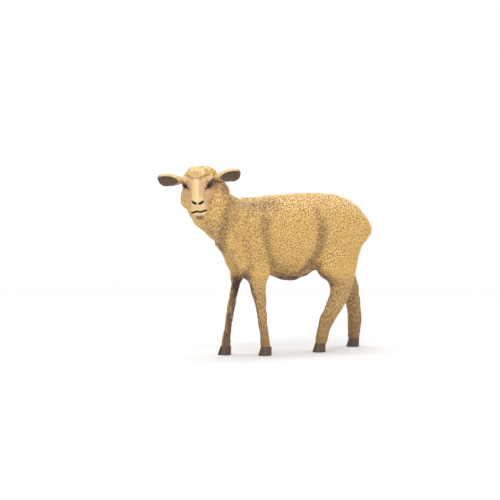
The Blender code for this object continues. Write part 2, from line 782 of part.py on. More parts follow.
def tail_stations():
    root = Vector((TRUNK_LENGTH / 2 - TAIL_ROOT_SETBACK, 0, BACK_HEIGHT - TAIL_ROOT_DROP))
    stations = []
    for drop, back, half_width, half_thick in smooth_rows(TAIL_SHARES, ROW_STEPS):
        centre = root + Vector((back * TAIL_BULGE, 0, -drop * TAIL_LENGTH))
        thick = half_thick * TAIL_THICK
        stations.append((centre, half_width * TAIL_WIDTH, thick, thick))
    return stations


def tail_rings(grow):
    """Level ovals down the tail, closed at both ends."""
    stations = tail_stations()
    rings = []
    for n, (centre, half_width, half_thick, _) in enumerate(stations):
        if n in (0, len(stations) - 1):
            rings.append([centre + Vector((0, 0, -grow if n else grow))])
            continue
        wide, thick = half_width + grow, half_thick + grow
        rings.append(oval(centre, ACROSS, ALONG, wide, thick, thick, LEG_SIDES))
    return rings


def tail_peg(name, grow, length):
    """A level peg from the tail's middle forward into the rump."""
    middle = max(tail_stations(), key=lambda station: station[0].x)[0]
    start = middle - Vector((TAIL_THICK / 2, 0, 0))
    return rod(name, middle, start - Vector((length, 0, 0)), TAIL_PEG_RADIUS + grow)


def trunk_half(half, side):
    """One trunk shell, with its half of the hollow, its sockets, and seam pins or pin holes."""
    nape, normal, _ = neck_seam()
    keep_side(half, (0, side * GLUE_GAP / 2, 0), (0, side, 0))
    keep_side(half, nape, -normal)
    cut(half, hollow_form("hollow"))
    cut(half, loft("tail_groove", tail_rings(GLUE_GAP)))
    cut(half, tail_peg("tail_socket", GLUE_GAP, TAIL_PEG_LENGTH + SOCKET_SPARE_DEPTH))
    cut(half, neck_peg("neck_socket", GLUE_GAP, NECK_PEG_LENGTH + SOCKET_SPARE_DEPTH))
    for name, leg in legs().items():
        if leg["side"] == side:
            cut(half, leg_peg(name + "_socket", leg, GLUE_GAP, LEG_PEG_LENGTH + SOCKET_SPARE_DEPTH))
    for row in SEAM_PIN_SHARES:
        place = pin_place(row)
        root = place - Vector((0, OVERRUN, 0))
        if side < 0:
            join(half, rod("pin", root, place + Vector((0, SEAM_PIN_LENGTH, 0)), SEAM_PIN_RADIUS))
        else:
            floor = place + Vector((0, SEAM_PIN_LENGTH + SOCKET_SPARE_DEPTH, 0))
            cut(half, rod("pin_hole", root, floor, SEAM_PIN_RADIUS + GLUE_GAP))
    finish(half)


def head_casting(head):
    nape, normal, _ = neck_seam()
    keep_side(head, nape + normal * GLUE_GAP, normal)
    shape_face(head)
    join(head, neck_peg("spigot", 0, NECK_PEG_LENGTH))
    for side in (1, -1):
        cut(head, ear_leaf("ear_seat", side, GLUE_GAP))
        cut(head, ear_stem("ear_socket", side, GLUE_GAP, EAR_STEM_DEPTH + SOCKET_SPARE_DEPTH))
    finish(head)


def finish(made):
    """Gives a casting its material and smooth shading with sharp seam edges."""
    made.data.materials.clear()
    made.data.materials.append(paint(made.name))
    made.data.shade_smooth()
    made.data.set_sharp_from_angle(angle=SHARP_EDGE)


def centre_on_floor():
    """Moves every casting so that the origin lies under the middle of the whole figure."""
    corners = [vertex.co for made in bpy.data.objects for vertex in made.data.vertices]
    low_x, high_x = min(c.x for c in corners), max(c.x for c in corners)
    low_y, high_y = min(c.y for c in corners), max(c.y for c in corners)
    shift = Matrix.Translation((-(low_x + high_x) / 2, -(low_y + high_y) / 2, 0))
    for made in bpy.data.objects:
        made.data.transform(shift)


def build():
    clear_scene()
    skin = whole_skin("skin")
    head_casting(copy_of(skin, "head"))
    trunk_half(copy_of(skin, "torso_left"), -1)
    trunk_half(copy_of(skin, "torso_right"), 1)
    bpy.data.objects.remove(skin, do_unlink=True)
    for side, name in ((1, "left_ear"), (-1, "right_ear")):
        finish(ear_casting(name, side))
    for name, leg in legs().items():
        finish(leg_casting(name, leg))
    tail = loft("tail", tail_rings(0))
    join(tail, tail_peg("tail_stem", 0, TAIL_PEG_LENGTH))
    finish(tail)
    centre_on_floor()


build()
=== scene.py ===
import json
import math

import bpy
import numpy as np
from mathutils import Matrix, Vector
from mathutils.kdtree import KDTree

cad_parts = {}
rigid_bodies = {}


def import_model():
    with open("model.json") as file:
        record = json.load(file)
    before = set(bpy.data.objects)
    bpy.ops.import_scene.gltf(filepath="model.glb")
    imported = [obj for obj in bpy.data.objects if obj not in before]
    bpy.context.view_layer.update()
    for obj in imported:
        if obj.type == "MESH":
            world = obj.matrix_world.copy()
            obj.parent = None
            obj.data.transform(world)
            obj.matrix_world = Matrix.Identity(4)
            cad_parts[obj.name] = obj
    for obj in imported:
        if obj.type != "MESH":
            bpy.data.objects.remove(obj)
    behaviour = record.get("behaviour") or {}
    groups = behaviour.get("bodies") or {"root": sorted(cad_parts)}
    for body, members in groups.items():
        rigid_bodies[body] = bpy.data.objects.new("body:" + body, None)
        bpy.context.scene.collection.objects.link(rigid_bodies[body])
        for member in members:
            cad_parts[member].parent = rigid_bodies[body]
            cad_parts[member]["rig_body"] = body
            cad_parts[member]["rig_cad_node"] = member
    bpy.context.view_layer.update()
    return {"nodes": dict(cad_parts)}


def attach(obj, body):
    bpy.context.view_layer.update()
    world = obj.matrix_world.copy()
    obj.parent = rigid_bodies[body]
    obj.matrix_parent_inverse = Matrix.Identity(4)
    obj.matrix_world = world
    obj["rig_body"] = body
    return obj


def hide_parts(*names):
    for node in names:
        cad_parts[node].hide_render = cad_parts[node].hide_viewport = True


# A toy sheep. The castings of the frame are fused into one skin, given their wool and carving, and
# sliced again at the same seams, so that the wool runs on from one casting to the next.

for name in ("Cube", "Light", "Camera"):
    if name in bpy.data.objects:
        bpy.data.objects.remove(bpy.data.objects[name])

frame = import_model()
mm = 0.001
print("frame loaded")


def toObjectMode():
    if bpy.context.object and bpy.context.object.mode != "OBJECT":
        bpy.ops.object.mode_set(mode="OBJECT")


def pickOnly(*pieces):
    toObjectMode()
    bpy.ops.object.select_all(action="DESELECT")
    for piece in pieces:
        piece.select_set(True)
    bpy.context.view_layer.objects.active = pieces[0]


def applyModifier(piece, kind, **settings):
    pickOnly(piece)
    modifier = piece.modifiers.new(kind.lower(), kind)
    for key, value in settings.items():
        setattr(modifier, key, value)
    bpy.ops.object.modifier_apply(modifier=modifier.name)


def remesh(piece, voxel, passes):
    applyModifier(piece, "REMESH", mode="VOXEL", voxel_size=voxel)
    applyModifier(piece, "SMOOTH", factor=0.5, iterations=passes)


def duplicate(piece, name):
    pickOnly(piece)
    bpy.ops.object.duplicate()
    made = bpy.context.object
    made.name = made.data.name = name
    return made


def deletePiece(piece):
    toObjectMode()
    bpy.data.objects.remove(piece, do_unlink=True)


def copyCastings(names, newName):  # loose from the frame's bodies
    pickOnly(*[frame["nodes"][each] for each in names])
    bpy.ops.object.duplicate()
    copies = list(bpy.context.selected_objects)
    for each in copies:
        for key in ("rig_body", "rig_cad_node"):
            del each[key]
    bpy.ops.object.parent_clear(type="CLEAR_KEEP_TRANSFORM")
    if len(copies) > 1:
        pickOnly(*copies)
        bpy.ops.object.join()
    made = bpy.context.view_layer.objects.active
    made.name = made.data.name = newName
    made.data.materials.clear()
    return made


def coordsOf(piece):
    values = np.empty(len(piece.data.vertices) * 3)
    piece.data.vertices.foreach_get("co", values)
    return values.reshape(-1, 3)


def normalsOf(piece):
    values = np.empty(len(piece.data.vertices) * 3)
    piece.data.vertices.foreach_get("normal", values)
    return values.reshape(-1, 3)


def moveTo(piece, points):
    piece.data.vertices.foreach_set("co", np.asarray(points).reshape(-1))
    piece.data.update()


def storeMask(piece, name, values):  # an attribute that the paint reads
    made = piece.data.attributes.new(name, "FLOAT", "POINT")
    made.data.foreach_set("value", np.asarray(values, dtype=np.float32))


def ease(values, low, high):  # 0 below low, 1 above high, smooth between
    t = np.clip((np.asarray(values) - low) / (high - low), 0, 1)
    return t * t * (3 - 2 * t)


def pickFaces(piece, chosen):  # leaves the piece in edit mode with those faces selected
    pickOnly(piece)
    bpy.ops.object.mode_set(mode="EDIT")
    bpy.ops.mesh.select_mode(type="FACE")
    bpy.ops.mesh.select_all(action="DESELECT")
    bpy.ops.object.mode_set(mode="OBJECT")
    piece.data.polygons.foreach_set("select", chosen)
    bpy.ops.object.mode_set(mode="EDIT")


def slicePiece(piece, point, normal, within=None):
    # keeps the side that the normal points to and closes the cut
    centres = np.empty(len(piece.data.polygons) * 3)
    piece.data.polygons.foreach_get("center", centres)
    centres = centres.reshape(-1, 3)
    pickFaces(piece, np.ones(len(centres), bool) if within is None else within(centres))
    bpy.ops.mesh.bisect(plane_co=point, plane_no=normal, clear_inner=True, use_fill=True, threshold=0.0001 * mm)
    bpy.ops.object.mode_set(mode="OBJECT")


# the animal's own place in the frame, and where its castings meet
figure = {
    "middle": Vector((20.718, 2.730, 0)) * mm,
    "neckSeam": (Vector((-25.28, 2.73, 94.01)) * mm, Vector((-0.9162, 0, 0.4008))),
    "foreSeam": 46.0 * mm,
    "foreSeamBelow": 60 * mm,
    "hindSeam": 41.0 * mm,
    "hindSeamBelow": 43 * mm,
    "foreEnd": -5.5 * mm,  # between the foreleg's sleeve and the belly
    "hindStart": 15 * mm,
    "headEnd": -38 * mm,  # the face and the topknot are in front of this
}

skinValues = {
    "voxel": 0.345 * mm,
    "legVoxel": 0.26 * mm,
    "headVoxel": 0.34 * mm,
    "castPasses": 3,
    "overlap": 3,  # millimetres that the finer casts reach past their seams
    "weldDistance": 0.01 * mm,
    "seamFill": 0.2 * mm,
    "blendPasses": 12,
}

# the wool fills the hollow between the nape and the withers
nape = {"place": (-24.0, 2.73, 92.0), "reach": (7.0, 7.0, 6.0), "rise": 1.6}

# the belly draws up behind the elbows
girth = {"rise": 1.6, "back": (9, -2), "front": (-12, -6), "above": (56, 49), "below": (36, 42)}


def fusedSkin(names):
    skin = copyCastings(names, "skin")
    bpy.ops.object.mode_set(mode="EDIT")
    bpy.ops.mesh.select_all(action="SELECT")
    bpy.ops.mesh.remove_doubles(threshold=skinValues["weldDistance"])
    bpy.ops.object.mode_set(mode="OBJECT")
    applyModifier(skin, "DISPLACE", strength=skinValues["seamFill"], mid_level=0)  # the seams close up
    applyModifier(skin, "REMESH", mode="VOXEL", voxel_size=skinValues["voxel"])
    pickOnly(skin)
    bpy.ops.mesh.separate(type="LOOSE")  # the hollows inside come away
    shells = sorted(bpy.context.selected_objects, key=lambda each: len(each.data.vertices))
    for shell in shells[:-1]:
        deletePiece(shell)
    skin = shells[-1]
    skin.name = skin.data.name = "skin"
    applyModifier(skin, "DISPLACE", strength=-skinValues["seamFill"], mid_level=0)
    applyModifier(skin, "SMOOTH", factor=0.5, iterations=skinValues["blendPasses"])
    return skin


def fillNape(piece):
    points = coordsOf(piece)
    away = (points / mm - nape["place"]) / nape["reach"]
    points[:, 2] += nape["rise"] * mm * np.exp(-(away**2).sum(1))
    moveTo(piece, points)


def drawUpGirth(piece):
    points = coordsOf(piece)
    x, z = points[:, 0] / mm, points[:, 2] / mm
    along = ease(x, *girth["back"]) * ease(x, *girth["front"])
    points[:, 2] += girth["rise"] * mm * along * ease(z, *girth["above"]) * ease(z, *girth["below"])
    moveTo(piece, points)


legNames = ["left_foreleg", "right_foreleg", "left_hind_leg", "right_hind_leg"]
skin = fusedSkin(["torso_left", "torso_right", "head", *legNames])
fillNape(skin)
print("skin fused:", len(skin.data.vertices), "points")


# the head's own frame: +X along the muzzle, +Y to its left ear, +Z out of the forehead
headPlace = {
    "eyes": Vector((-61.08, -5.77, 100.5)) * mm,  # midway between the eyes
    "turn": math.radians(180 + 48.5),
    "nod": math.radians(30),
    "tilt": math.radians(5),
}

headMatrix = (
    Matrix.Translation(headPlace["eyes"])
    @ Matrix.Rotation(headPlace["turn"], 4, "Z")
    @ Matrix.Rotation(headPlace["nod"], 4, "Y")
    @ Matrix.Rotation(headPlace["tilt"], 4, "X")
)
headTurn = np.array(headMatrix)[:3, :3]


def inHead(points):  # places in the head's frame, in millimetres
    away = np.array(headMatrix.inverted())
    return (np.asarray(points) @ away[:3, :3].T + away[:3, 3]) / mm


# the drawing of the face: millimetres right and up of the eyes' midpoint, seen from the front
drawing = {
    "right": np.array((0.7934, -0.6088, 0.0)),
    "up": np.array((0.0277, 0.0360, 0.9990)),
    "front": np.array((-0.6081, -0.7925, 0.0454)),
    # where the middle of the face runs, right of the eyes' midpoint, by height
    "heights": (-19.0, -15.0, -10.0, 0.0, 6.0),
    "middles": (0.8, 0.35, -0.3, -0.9, -1.5),
}


def onDrawing(points):
    away = points / mm - np.array(headPlace["eyes"]) / mm
    return away @ drawing["right"], away @ drawing["up"]


def besideMiddle(across, height):
    return across - np.interp(height, drawing["heights"], drawing["middles"])


def nearPath(across, height, path):  # distance from a line drawn on the face
    best = np.full(len(across), np.inf)
    for (x1, y1), (x2, y2) in zip(path, path[1:]):
        dx, dy = x2 - x1, y2 - y1
        share = np.clip(((across - x1) * dx + (height - y1) * dy) / (dx * dx + dy * dy), 0, 1)
        best = np.minimum(best, np.hypot(across - x1 - share * dx, height - y1 - share * dy))
    return best


woolValues = {
    "curlSpacing": 2.35 * mm,
    "curlPitch": 1.45 * mm,
    "pitchByHeight": ((35, 50, 75, 92), (0.72, 0.88, 0.95, 1.2)),
    "pitchSpread": (0.8, 1.25),
    "curlReach": 0.62,  # of the spacing
    "curlEdges": (-1.0, 0.8),
    "curlRagged": (1.5 * mm, 0.3),
    "curlsNear": 4,  # that a point of the skin feels
    "triedPoints": 60000,
    "curlDepth": 0.44 * mm,
    "curlLevel": 0.62,  # the curl's height that stays on the skin
    "lumpLength": 7.5 * mm,
    "lumpDepth": 0.16 * mm,
    # short straight wool, which takes over from the curls down the legs
    "strandWidth": 0.9 * mm,
    "strandFrom": (54 * mm, 39 * mm),
    "strandEdges": (-2.3, 1.3),
    # fine hair under the wool
    "hairWidth": 1.1 * mm,
    "hairDepth": 0.06 * mm,
    "hairAbove": (5 * mm, 9 * mm),
    "hairBelow": 60 * mm,
    # how far the wool stands out by height, which fades it out down the legs
    "sleeve": ((5.5, 9, 20, 30, 48), (0.0, 0.3, 0.55, 0.85, 1.0)),
    # curls hang down the chest and the neck in front of this place along the body
    "hangFrom": (-22.0 * mm, -34.0 * mm),
    "hangStretch": 0.9,
    "hangAlong": np.array((0.15, 0, -1.0)),
    "hangSpread": 0.25,
    # locks, the larger waves of the neck and the breast
    "lockLength": 6.5 * mm,
    "lockDepth": 0.15 * mm,
    "lockAlong": (-20 * mm, -32 * mm),
    "lockAbove": (44 * mm, 52 * mm),
    "lockCalm": 0.3,
    # tufts of the topknot, whose left side keeps its curls
    "tuftLength": 4.2 * mm,
    "tuftDepth": 0.22 * mm,
    "tuftCalm": 0.5,
    "tuftLevel": 0.94,
    "tuftCurled": (1.0, 5.0),
    "tuftCurls": 0.85,
    # painted highlight on what faces up, and the topknot painted lighter
    "highlightUp": (-0.2, 0.9),
    "lightKnot": 0.9,
}


def scatterSeeds(points, spacing, seed):  # points of the skin that keep their distance from each other
    rng = np.random.default_rng(seed)
    order = rng.permutation(len(points))[:woolValues["triedPoints"]]
    steps = [(x, y, z) for x in (-1, 0, 1) for y in (-1, 0, 1) for z in (-1, 0, 1)]
    taken = {}
    chosen = []
    for index in order:
        point = points[index]
        cell = tuple((point // spacing).astype(int))
        crowded = False
        for x, y, z in steps:
            for other in taken.get((cell[0] + x, cell[1] + y, cell[2] + z), ()):
                gap = other - point
                if gap @ gap < spacing * spacing:
                    crowded = True
        if not crowded:
            taken.setdefault(cell, []).append(point)
            chosen.append(index)
    return np.array(chosen)


def seedCurls(skin, seed):  # where the curls sit on the skin and how each one turns
    points, normals = coordsOf(skin), normalsOf(skin)
    chosen = scatterSeeds(points, woolValues["curlSpacing"], seed)
    rng = np.random.default_rng(seed + 1)
    tree = KDTree(len(chosen))
    for n, index in enumerate(chosen):
        tree.insert(points[index], n)
    tree.balance()
    place, normal = points[chosen], normals[chosen]
    hang = ease(place[:, 0], *woolValues["hangFrom"])
    down = woolValues["hangAlong"] + rng.normal(size=normal.shape) * woolValues["hangSpread"]
    along = rng.normal(size=normal.shape) * (1 - hang)[:, None] + down * hang[:, None] * 2
    side = np.cross(normal, along)
    side /= np.linalg.norm(side, axis=1)[:, None]
    hand = rng.choice([-1.0, 1.0], len(chosen))
    turn = rng.uniform(0, 2 * math.pi, len(chosen))
    pitch = woolValues["curlPitch"] * rng.uniform(*woolValues["pitchSpread"], len(chosen))
    return {
        "tree": tree,
        "place": place,
        "side": side,
        "up": np.cross(side, normal),
        "hand": hand,
        "turn": turn,
        "stretch": 1 + woolValues["hangStretch"] * hang,
        "pitch": pitch * np.interp(place[:, 2] / mm, *woolValues["pitchByHeight"]),
    }


def waves(points, length, seed, squeeze=(1, 1, 1)):  # soft lumps about 0, of that length
    rng = np.random.default_rng(seed)
    count = 48
    directions = rng.normal(size=(count, 3))
    directions /= np.linalg.norm(directions, axis=1)[:, None]
    phases = rng.uniform(0, 2 * math.pi, count)
    total = np.zeros(len(points))
    for direction, phase in zip(directions * squeeze, phases):
        total += np.cos(points @ direction * (2 * math.pi / length) + phase)
    return total / math.sqrt(count / 2)


def curlHeights(field, points):  # small spirals that run into each other, from 0 in the creases to 1
    count = woolValues["curlsNear"]
    near = np.empty((len(points), count), int)
    findNear = field["tree"].find_n
    for n, point in enumerate(points):
        near[n] = [found[1] for found in findNear(point, count)]
    across = points[:, None, :] - field["place"][near]
    a = np.einsum("ijk,ijk->ij", across, field["side"][near])
    b = np.einsum("ijk,ijk->ij", across, field["up"][near]) / field["stretch"][near]
    radius = np.hypot(a, b)
    turn = np.arctan2(b, a) * field["hand"][near] + field["turn"][near]
    wave = np.cos(turn + radius / field["pitch"][near] * 2 * math.pi)
    weight = np.exp(-((radius / (woolValues["curlReach"] * woolValues["curlSpacing"])) ** 2) * 1.5)
    height = (wave * weight).sum(1) / np.sqrt((weight**2).sum(1))
    length, depth = woolValues["curlRagged"]
    return ease(height + depth * waves(points, length, 41), *woolValues["curlEdges"])


curls = seedCurls(skin, 5)
drawUpGirth(skin)
print("wool scattered:", len(curls["hand"]), "curls")


# where the wool stops
faceEdge = {
    # half width of the bare face by height on the drawing
    "widths": ((-19.4, -18.4, -16.8, -15.0, -11.5, -7.1, -3.6, 0.5, 4.0, 7.0),
               (0.0, 2.3, 3.9, 5.2, 6.9, 9.2, 10.0, 11.2, 12.0, 11.0)),
    # how much of that width the turned-away cheek keeps, by height
    "farCheek": ((-13.0, -9.0, -3.0, 1.0), (1.0, 0.84, 0.84, 1.0)),
    # the lower edge of the topknot by distance from the middle
    "fringe": ((0.0, 2.5, 5.0, 8.0, 10.6, 12.0), (4.8, 5.2, 6.6, 7.4, 6.4, 4.5)),
    # how far back the bare skin goes, by height in the head's frame
    "backs": ((-14.0, -8.0, -4.0, 2.0, 6.0), (12.0, 7.5, 2.5, -4.0, -2.0)),
    "soft": 0.7,
    "ragged": (3.2 * mm, 0.35),
    # where the topknot starts in the head's frame
    "knotAbove": (4.5, 7.0),
    "knotBefore": (-9.0, -5.0),
}


def bareFace(points):  # 1 on the smooth face, 0 on the wool
    local = inHead(points)
    across, height = onDrawing(points)
    beside = besideMiddle(across, height)
    beside = np.where(beside < 0, -beside / np.interp(height, *faceEdge["farCheek"]), beside)
    length, depth = faceEdge["ragged"]
    ragged = waves(points, length, 21) * depth
    soft = faceEdge["soft"]
    sides = ease(np.interp(height, *faceEdge["widths"]) - beside + ragged, -soft, soft)
    top = ease(np.interp(beside, *faceEdge["fringe"]) - height + ragged, -soft, soft)
    back = np.interp(local[:, 2], *faceEdge["backs"])
    return sides * top * ease(local[:, 0] - back + ragged, -soft, soft)


def topknotMask(points):
    local = inHead(points)
    knot = ease(local[:, 2], *faceEdge["knotAbove"]) * ease(local[:, 0], *faceEdge["knotBefore"])
    return knot * (points[:, 0] < figure["headEnd"])


def woolMask(points):
    mask = np.interp(points[:, 2] / mm, *woolValues["sleeve"])
    inFront = points[:, 0] < figure["headEnd"]
    mask[inFront] *= 1 - bareFace(points[inFront])
    return mask


def lockMask(points):  # 1 where the wool hangs in locks, on the neck and the breast
    return ease(points[:, 0], *woolValues["lockAlong"]) * ease(points[:, 2], *woolValues["lockAbove"])


def locks(points):
    return waves(points, woolValues["lockLength"], 27, (1, 1, 0.4))


# Brown airbrush strokes along the creases, which also paint the shade in the creases, under the ear, under the
# belly and between the legs:
# paths in millimetres over the near side, mirrored to the far one, with how far each one reaches and how strong
# it is.
shoulderLine = ((-17, -12.5, 80), (-19, -14, 74), (-17, -15.5, 63), (-14, -13.6, 56), (-7, -8, 50.5))
neckFold = (
    (-43.6, -12, 89), (-45, -11.5, 85.6), (-45, -10, 79.8), (-44.7, -6.4, 74), (-42, -2, 69), (-37.6, 2, 63),
)
strokeCore = 0.5
strokes = [
    (shoulderLine, 7.0, 0.64),
    # before the haunch, down to the belly and the stifle
    (((22, -13.5, 84), (23, -16, 76)), 6.0, 0.45),
    (((23, -16, 74), (22, -16, 66), (20, -14.2, 59)), 6.5, 0.75),
    (((20, -14.2, 59), (16.6, -12.1, 53.6), (9, -6, 46)), 5.0, 0.85),
    (((17, -12, 54), (27, -6, 49), (30.3, -8.5, 45.4), (36, -7.5, 41)), 7.0, 0.95),
    (((-5, -6, 48), (2, -4, 46.5), (9, -5, 46)), 3.6, 0.9),
    (((34, -10, 44), (42.5, -12.4, 39)), 8.0, 0.4),
    (((49, -9, 44), (50, -8, 38), (47, -8, 31), (42, -8, 24)), 5.0, 0.4),
    # under the ear and down the fold of the neck
    (((-50, -10.8, 102), (-44, -11.7, 98), (-40, -10.3, 92)), 7.0, 0.8),
    (neckFold, 5.2, 0.75),
    (((-38, -10.5, 91), (-39.5, -11.4, 84), (-41, -10.6, 78)), 8.0, 0.45),
    # the withers
    (((-34, -8, 91.5), (-27, -8, 89), (-18.4, -6.7, 88), (-9, -6.5, 89.6)), 10.0, 0.55),
    (((-30, -14, 76), (-26, -15, 62)), 13.0, 0.22),
    # the breast and the tops of the forelegs
    (((-31.6, -11.4, 69.6), (-30, -13.3, 62), (-29.5, -13.4, 56), (-26, -9, 48)), 4.5, 0.4),
    (((-28.5, -8.3, 48), (-25, -3.9, 45.7), (-22, 0, 44)), 6.5, 1.15),
    (((-24, -7, 43), (-21.5, -6.6, 35.7), (-18.5, -5.6, 26), (-17, -5, 12)), 3.2, 0.85),
    (((-50, -4, 76), (-41, 2.7, 66), (-32, 3, 55), (-30, -3, 47)), 9.0, 0.4),
]

# broad areas of the same brown, in millimetres up and along the body, and by how a surface faces: painted shade
# on what faces down under the belly, on the inner sides and the tops of the forelegs and in the creases between
# the locks, with the shins browner and a patchy spread
mistAndShadeAreas = {
    "bellyFacesDown": (0.4, 1.0),
    "bellyBelow": (58, 48),
    "bellyAlong": ((-11, -5, 5), (0, 0.7, 1.15)),
    "legsBelow": (54, 42),
    "legsFaceInward": (-0.6, 0.4),
    "legsAlong": ((-10, 10), (0.9, 0.64)),
    "foreTops": (0.4, (33, 42), (0, -10)),
    "shins": (0.46, (50, 36)),
    "shinsOverStrokes": 0.35,
    "lockCreases": (0.2, (0.3, 1.6)),
    "patchy": (0.07, 5 * mm),
    "strongest": 1.4,
}

# the bright side of the throat
throat = {"path": ((-56, -12, 92), (-50, -11, 85), (-48, -6, 76)), "reach": (3.0, 9.0), "strength": 0.6}


def distanceToPath(points, path):
    best = np.full(len(points), np.inf)
    for start, end in zip(path, path[1:]):
        start, end = np.array(start), np.array(end)
        along = end - start
        share = np.clip((points - start) @ along / (along @ along), 0, 1)
        best = np.minimum(best, np.linalg.norm(points - start - share[:, None] * along, axis=1))
    return best


def airbrushAndShadeMask(points, normals):
    local = points / mm
    x, z = local[:, 0], local[:, 2]
    beside = local[:, 1] - figure["middle"].y / mm
    near = np.stack((x, -np.abs(beside) + figure["middle"].y / mm, z), 1)
    mask = np.zeros(len(points))
    for path, reach, strength in strokes:
        mask = np.maximum(mask, (1 - ease(distanceToPath(near, path), strokeCore, reach)) * strength)
    # painted shade on what faces down under the belly and on the inner sides of the legs
    belly = ease(-normals[:, 2], *mistAndShadeAreas["bellyFacesDown"]) * ease(z, *mistAndShadeAreas["bellyBelow"])
    belly *= np.interp(x, *mistAndShadeAreas["bellyAlong"])
    inward = -np.sign(beside) * normals[:, 1]
    legs = ease(z, *mistAndShadeAreas["legsBelow"]) * ease(inward, *mistAndShadeAreas["legsFaceInward"])
    legs *= np.interp(x, *mistAndShadeAreas["legsAlong"])
    extra, above, along = mistAndShadeAreas["foreTops"]
    legs *= 1 + extra * ease(z, *above) * ease(x, *along)
    strength, below = mistAndShadeAreas["shins"]
    shins = strength * ease(z, *below)
    strength, depth = mistAndShadeAreas["lockCreases"]
    creases = ease(-locks(points), *depth) * lockMask(points) * strength
    mask = np.maximum.reduce((mask, belly, legs, shins)) + shins * mistAndShadeAreas["shinsOverStrokes"] + creases
    strength, length = mistAndShadeAreas["patchy"]
    return np.clip(mask * (1 + strength * waves(points, length, 33)), 0, mistAndShadeAreas["strongest"])


def settle(curl, share, level):  # evens the curls out towards a level
    return curl * (1 - share) + level * share


def growWool(piece):
    points, normals = coordsOf(piece), normalsOf(piece)
    z = points[:, 2]
    wool, knot, hanging = woolMask(points), topknotMask(points), lockMask(points)
    strands = ease(waves(points, woolValues["strandWidth"], 43, (1, 1, 0.3)), *woolValues["strandEdges"])
    curl = settle(curlHeights(curls, points), ease(z, *woolValues["strandFrom"]), strands)
    curl = settle(curl, hanging * woolValues["lockCalm"], woolValues["curlLevel"])
    smooth = knot * (1 - woolValues["tuftCurls"] * ease(onDrawing(points)[0], *woolValues["tuftCurled"]))
    curl = settle(curl, smooth * woolValues["tuftCalm"], woolValues["tuftLevel"])

    bright = 1 - ease(distanceToPath(points / mm, throat["path"]), *throat["reach"])
    # the top mask: painted highlight on what faces up, with the topknot and the throat painted lighter
    highlightUp, lightKnot = ease(normals[:, 2], *woolValues["highlightUp"]), knot * woolValues["lightKnot"]
    top = np.maximum.reduce((highlightUp, lightKnot, bright * throat["strength"]))
    storeMask(piece, "wool", wool)
    storeMask(piece, "curl", curl)
    # brown airbrush together with painted shade in the creases, under the belly and between the legs
    storeMask(piece, "airbrushAndShade", airbrushAndShadeMask(points, normals))
    storeMask(piece, "top", top)

    height = woolValues["curlDepth"] * (curl - woolValues["curlLevel"])
    height += woolValues["lumpDepth"] * waves(points, woolValues["lumpLength"], 12)
    height += knot * woolValues["tuftDepth"] * waves(points, woolValues["tuftLength"], 19)
    height += hanging * woolValues["lockDepth"] * locks(points)
    hair = woolValues["hairDepth"] * waves(points, woolValues["hairWidth"], 14, (1, 1, 0.35))
    hair = hair * ease(z, *woolValues["hairAbove"]) * (z < woolValues["hairBelow"])
    moveTo(piece, points + normals * (height * wool + hair * (1 - wool))[:, None])


def castFrom(skin, name, point, normal, voxel):  # a finer copy of one end of the skin
    piece = duplicate(skin, name)
    slicePiece(piece, point, normal)
    remesh(piece, voxel, skinValues["castPasses"])
    return piece


neckPoint, neckNormal = figure["neckSeam"]
headCast = castFrom(
    skin, "head_cast", neckPoint - neckNormal * skinValues["overlap"] * mm, neckNormal, skinValues["headVoxel"]
)
legTop = figure["foreSeam"] + skinValues["overlap"] * mm
legCast = castFrom(skin, "leg_cast", (0, 0, legTop), (0, 0, -1), skinValues["legVoxel"])
print("head and legs cast:", len(headCast.data.vertices), len(legCast.data.vertices))


muzzle = {
    # by height on the drawing: where the middle of the muzzle was, where it goes and how much wider it gets
    "heights": (-18.0, -15.2, -12.3, -9.4, -4.0, 2.0),
    "from": (-1.1, -1.2, -1.4, -1.1, -0.6, -0.6),
    "to": (0.7, 0.45, 0.2, 0.15, -0.2, -0.6),
    "wider": (1.25, 1.25, 1.07, 0.96, 1.0, 1.0),
    "before": (4, 15),  # in the head's frame
    "pullBack": 1.1,
    "chinDrop": 2.0,
    "chinBelow": (-11.5, -16.5),
}

topknot = {
    "fuller": 1.8,
    "fullerFrom": (1.0, 7.0),
    "fullerAbove": (5.0, 8.5),
    "lower": 0.9,
    "lowerMiddle": -0.5,
    "lowerWidth": 3.0,
    "lowerAbove": (8.5, 12.0),
}


def shapeMuzzle(piece):
    points = coordsOf(piece)
    across, height = onDrawing(points)
    share = ease(inHead(points)[:, 0], *muzzle["before"])
    middleWas = np.interp(height, muzzle["heights"], muzzle["from"])
    middleIs = np.interp(height, muzzle["heights"], muzzle["to"])
    wider = np.interp(height, muzzle["heights"], muzzle["wider"])
    sideways = (middleIs + (across - middleWas) * wider - across) * share
    drop = muzzle["chinDrop"] * ease(height, *muzzle["chinBelow"]) * share
    pull = muzzle["pullBack"] * share
    shift = sideways[:, None] * drawing["right"] - drop[:, None] * drawing["up"]
    moveTo(piece, points + (shift - pull[:, None] * drawing["front"]) * mm)


def shapeTopknot(piece):  # flatter on top and fuller towards the left ear
    points = coordsOf(piece)
    across, height = onDrawing(points)
    fuller = topknot["fuller"] * ease(across, *topknot["fullerFrom"]) * ease(height, *topknot["fullerAbove"])
    hump = np.exp(-(((across - topknot["lowerMiddle"]) / topknot["lowerWidth"]) ** 2))
    lower = topknot["lower"] * hump * ease(height, *topknot["lowerAbove"])
    shift = fuller[:, None] * drawing["right"] - lower[:, None] * drawing["up"]
    moveTo(piece, points + shift * mm)


# Lines on the drawing. Each fades out over its reach. "half" lines are drawn on one half of the face and
# mirrored, "middle" lines are measured from its middle, and "eyes" lines from between the eyes.
nostrilLine = ((1.05, -10.1), (1.8, -9.9), (2.6, -9.4), (3.3, -8.9))
lobeLine = ((5.3, 6.4), (5.9, 8.6), (5.3, 11.6), (3.6, 14.0))  # the side of the topknot
mouthLine = (
    (-4.3, -15.5), (-3.1, -15.2), (-1.6, -14.8), (-0.8, -14.6),
    (0.4, -15.0), (1.4, -14.9), (2.4, -14.6), (4.4, -13.9),
)

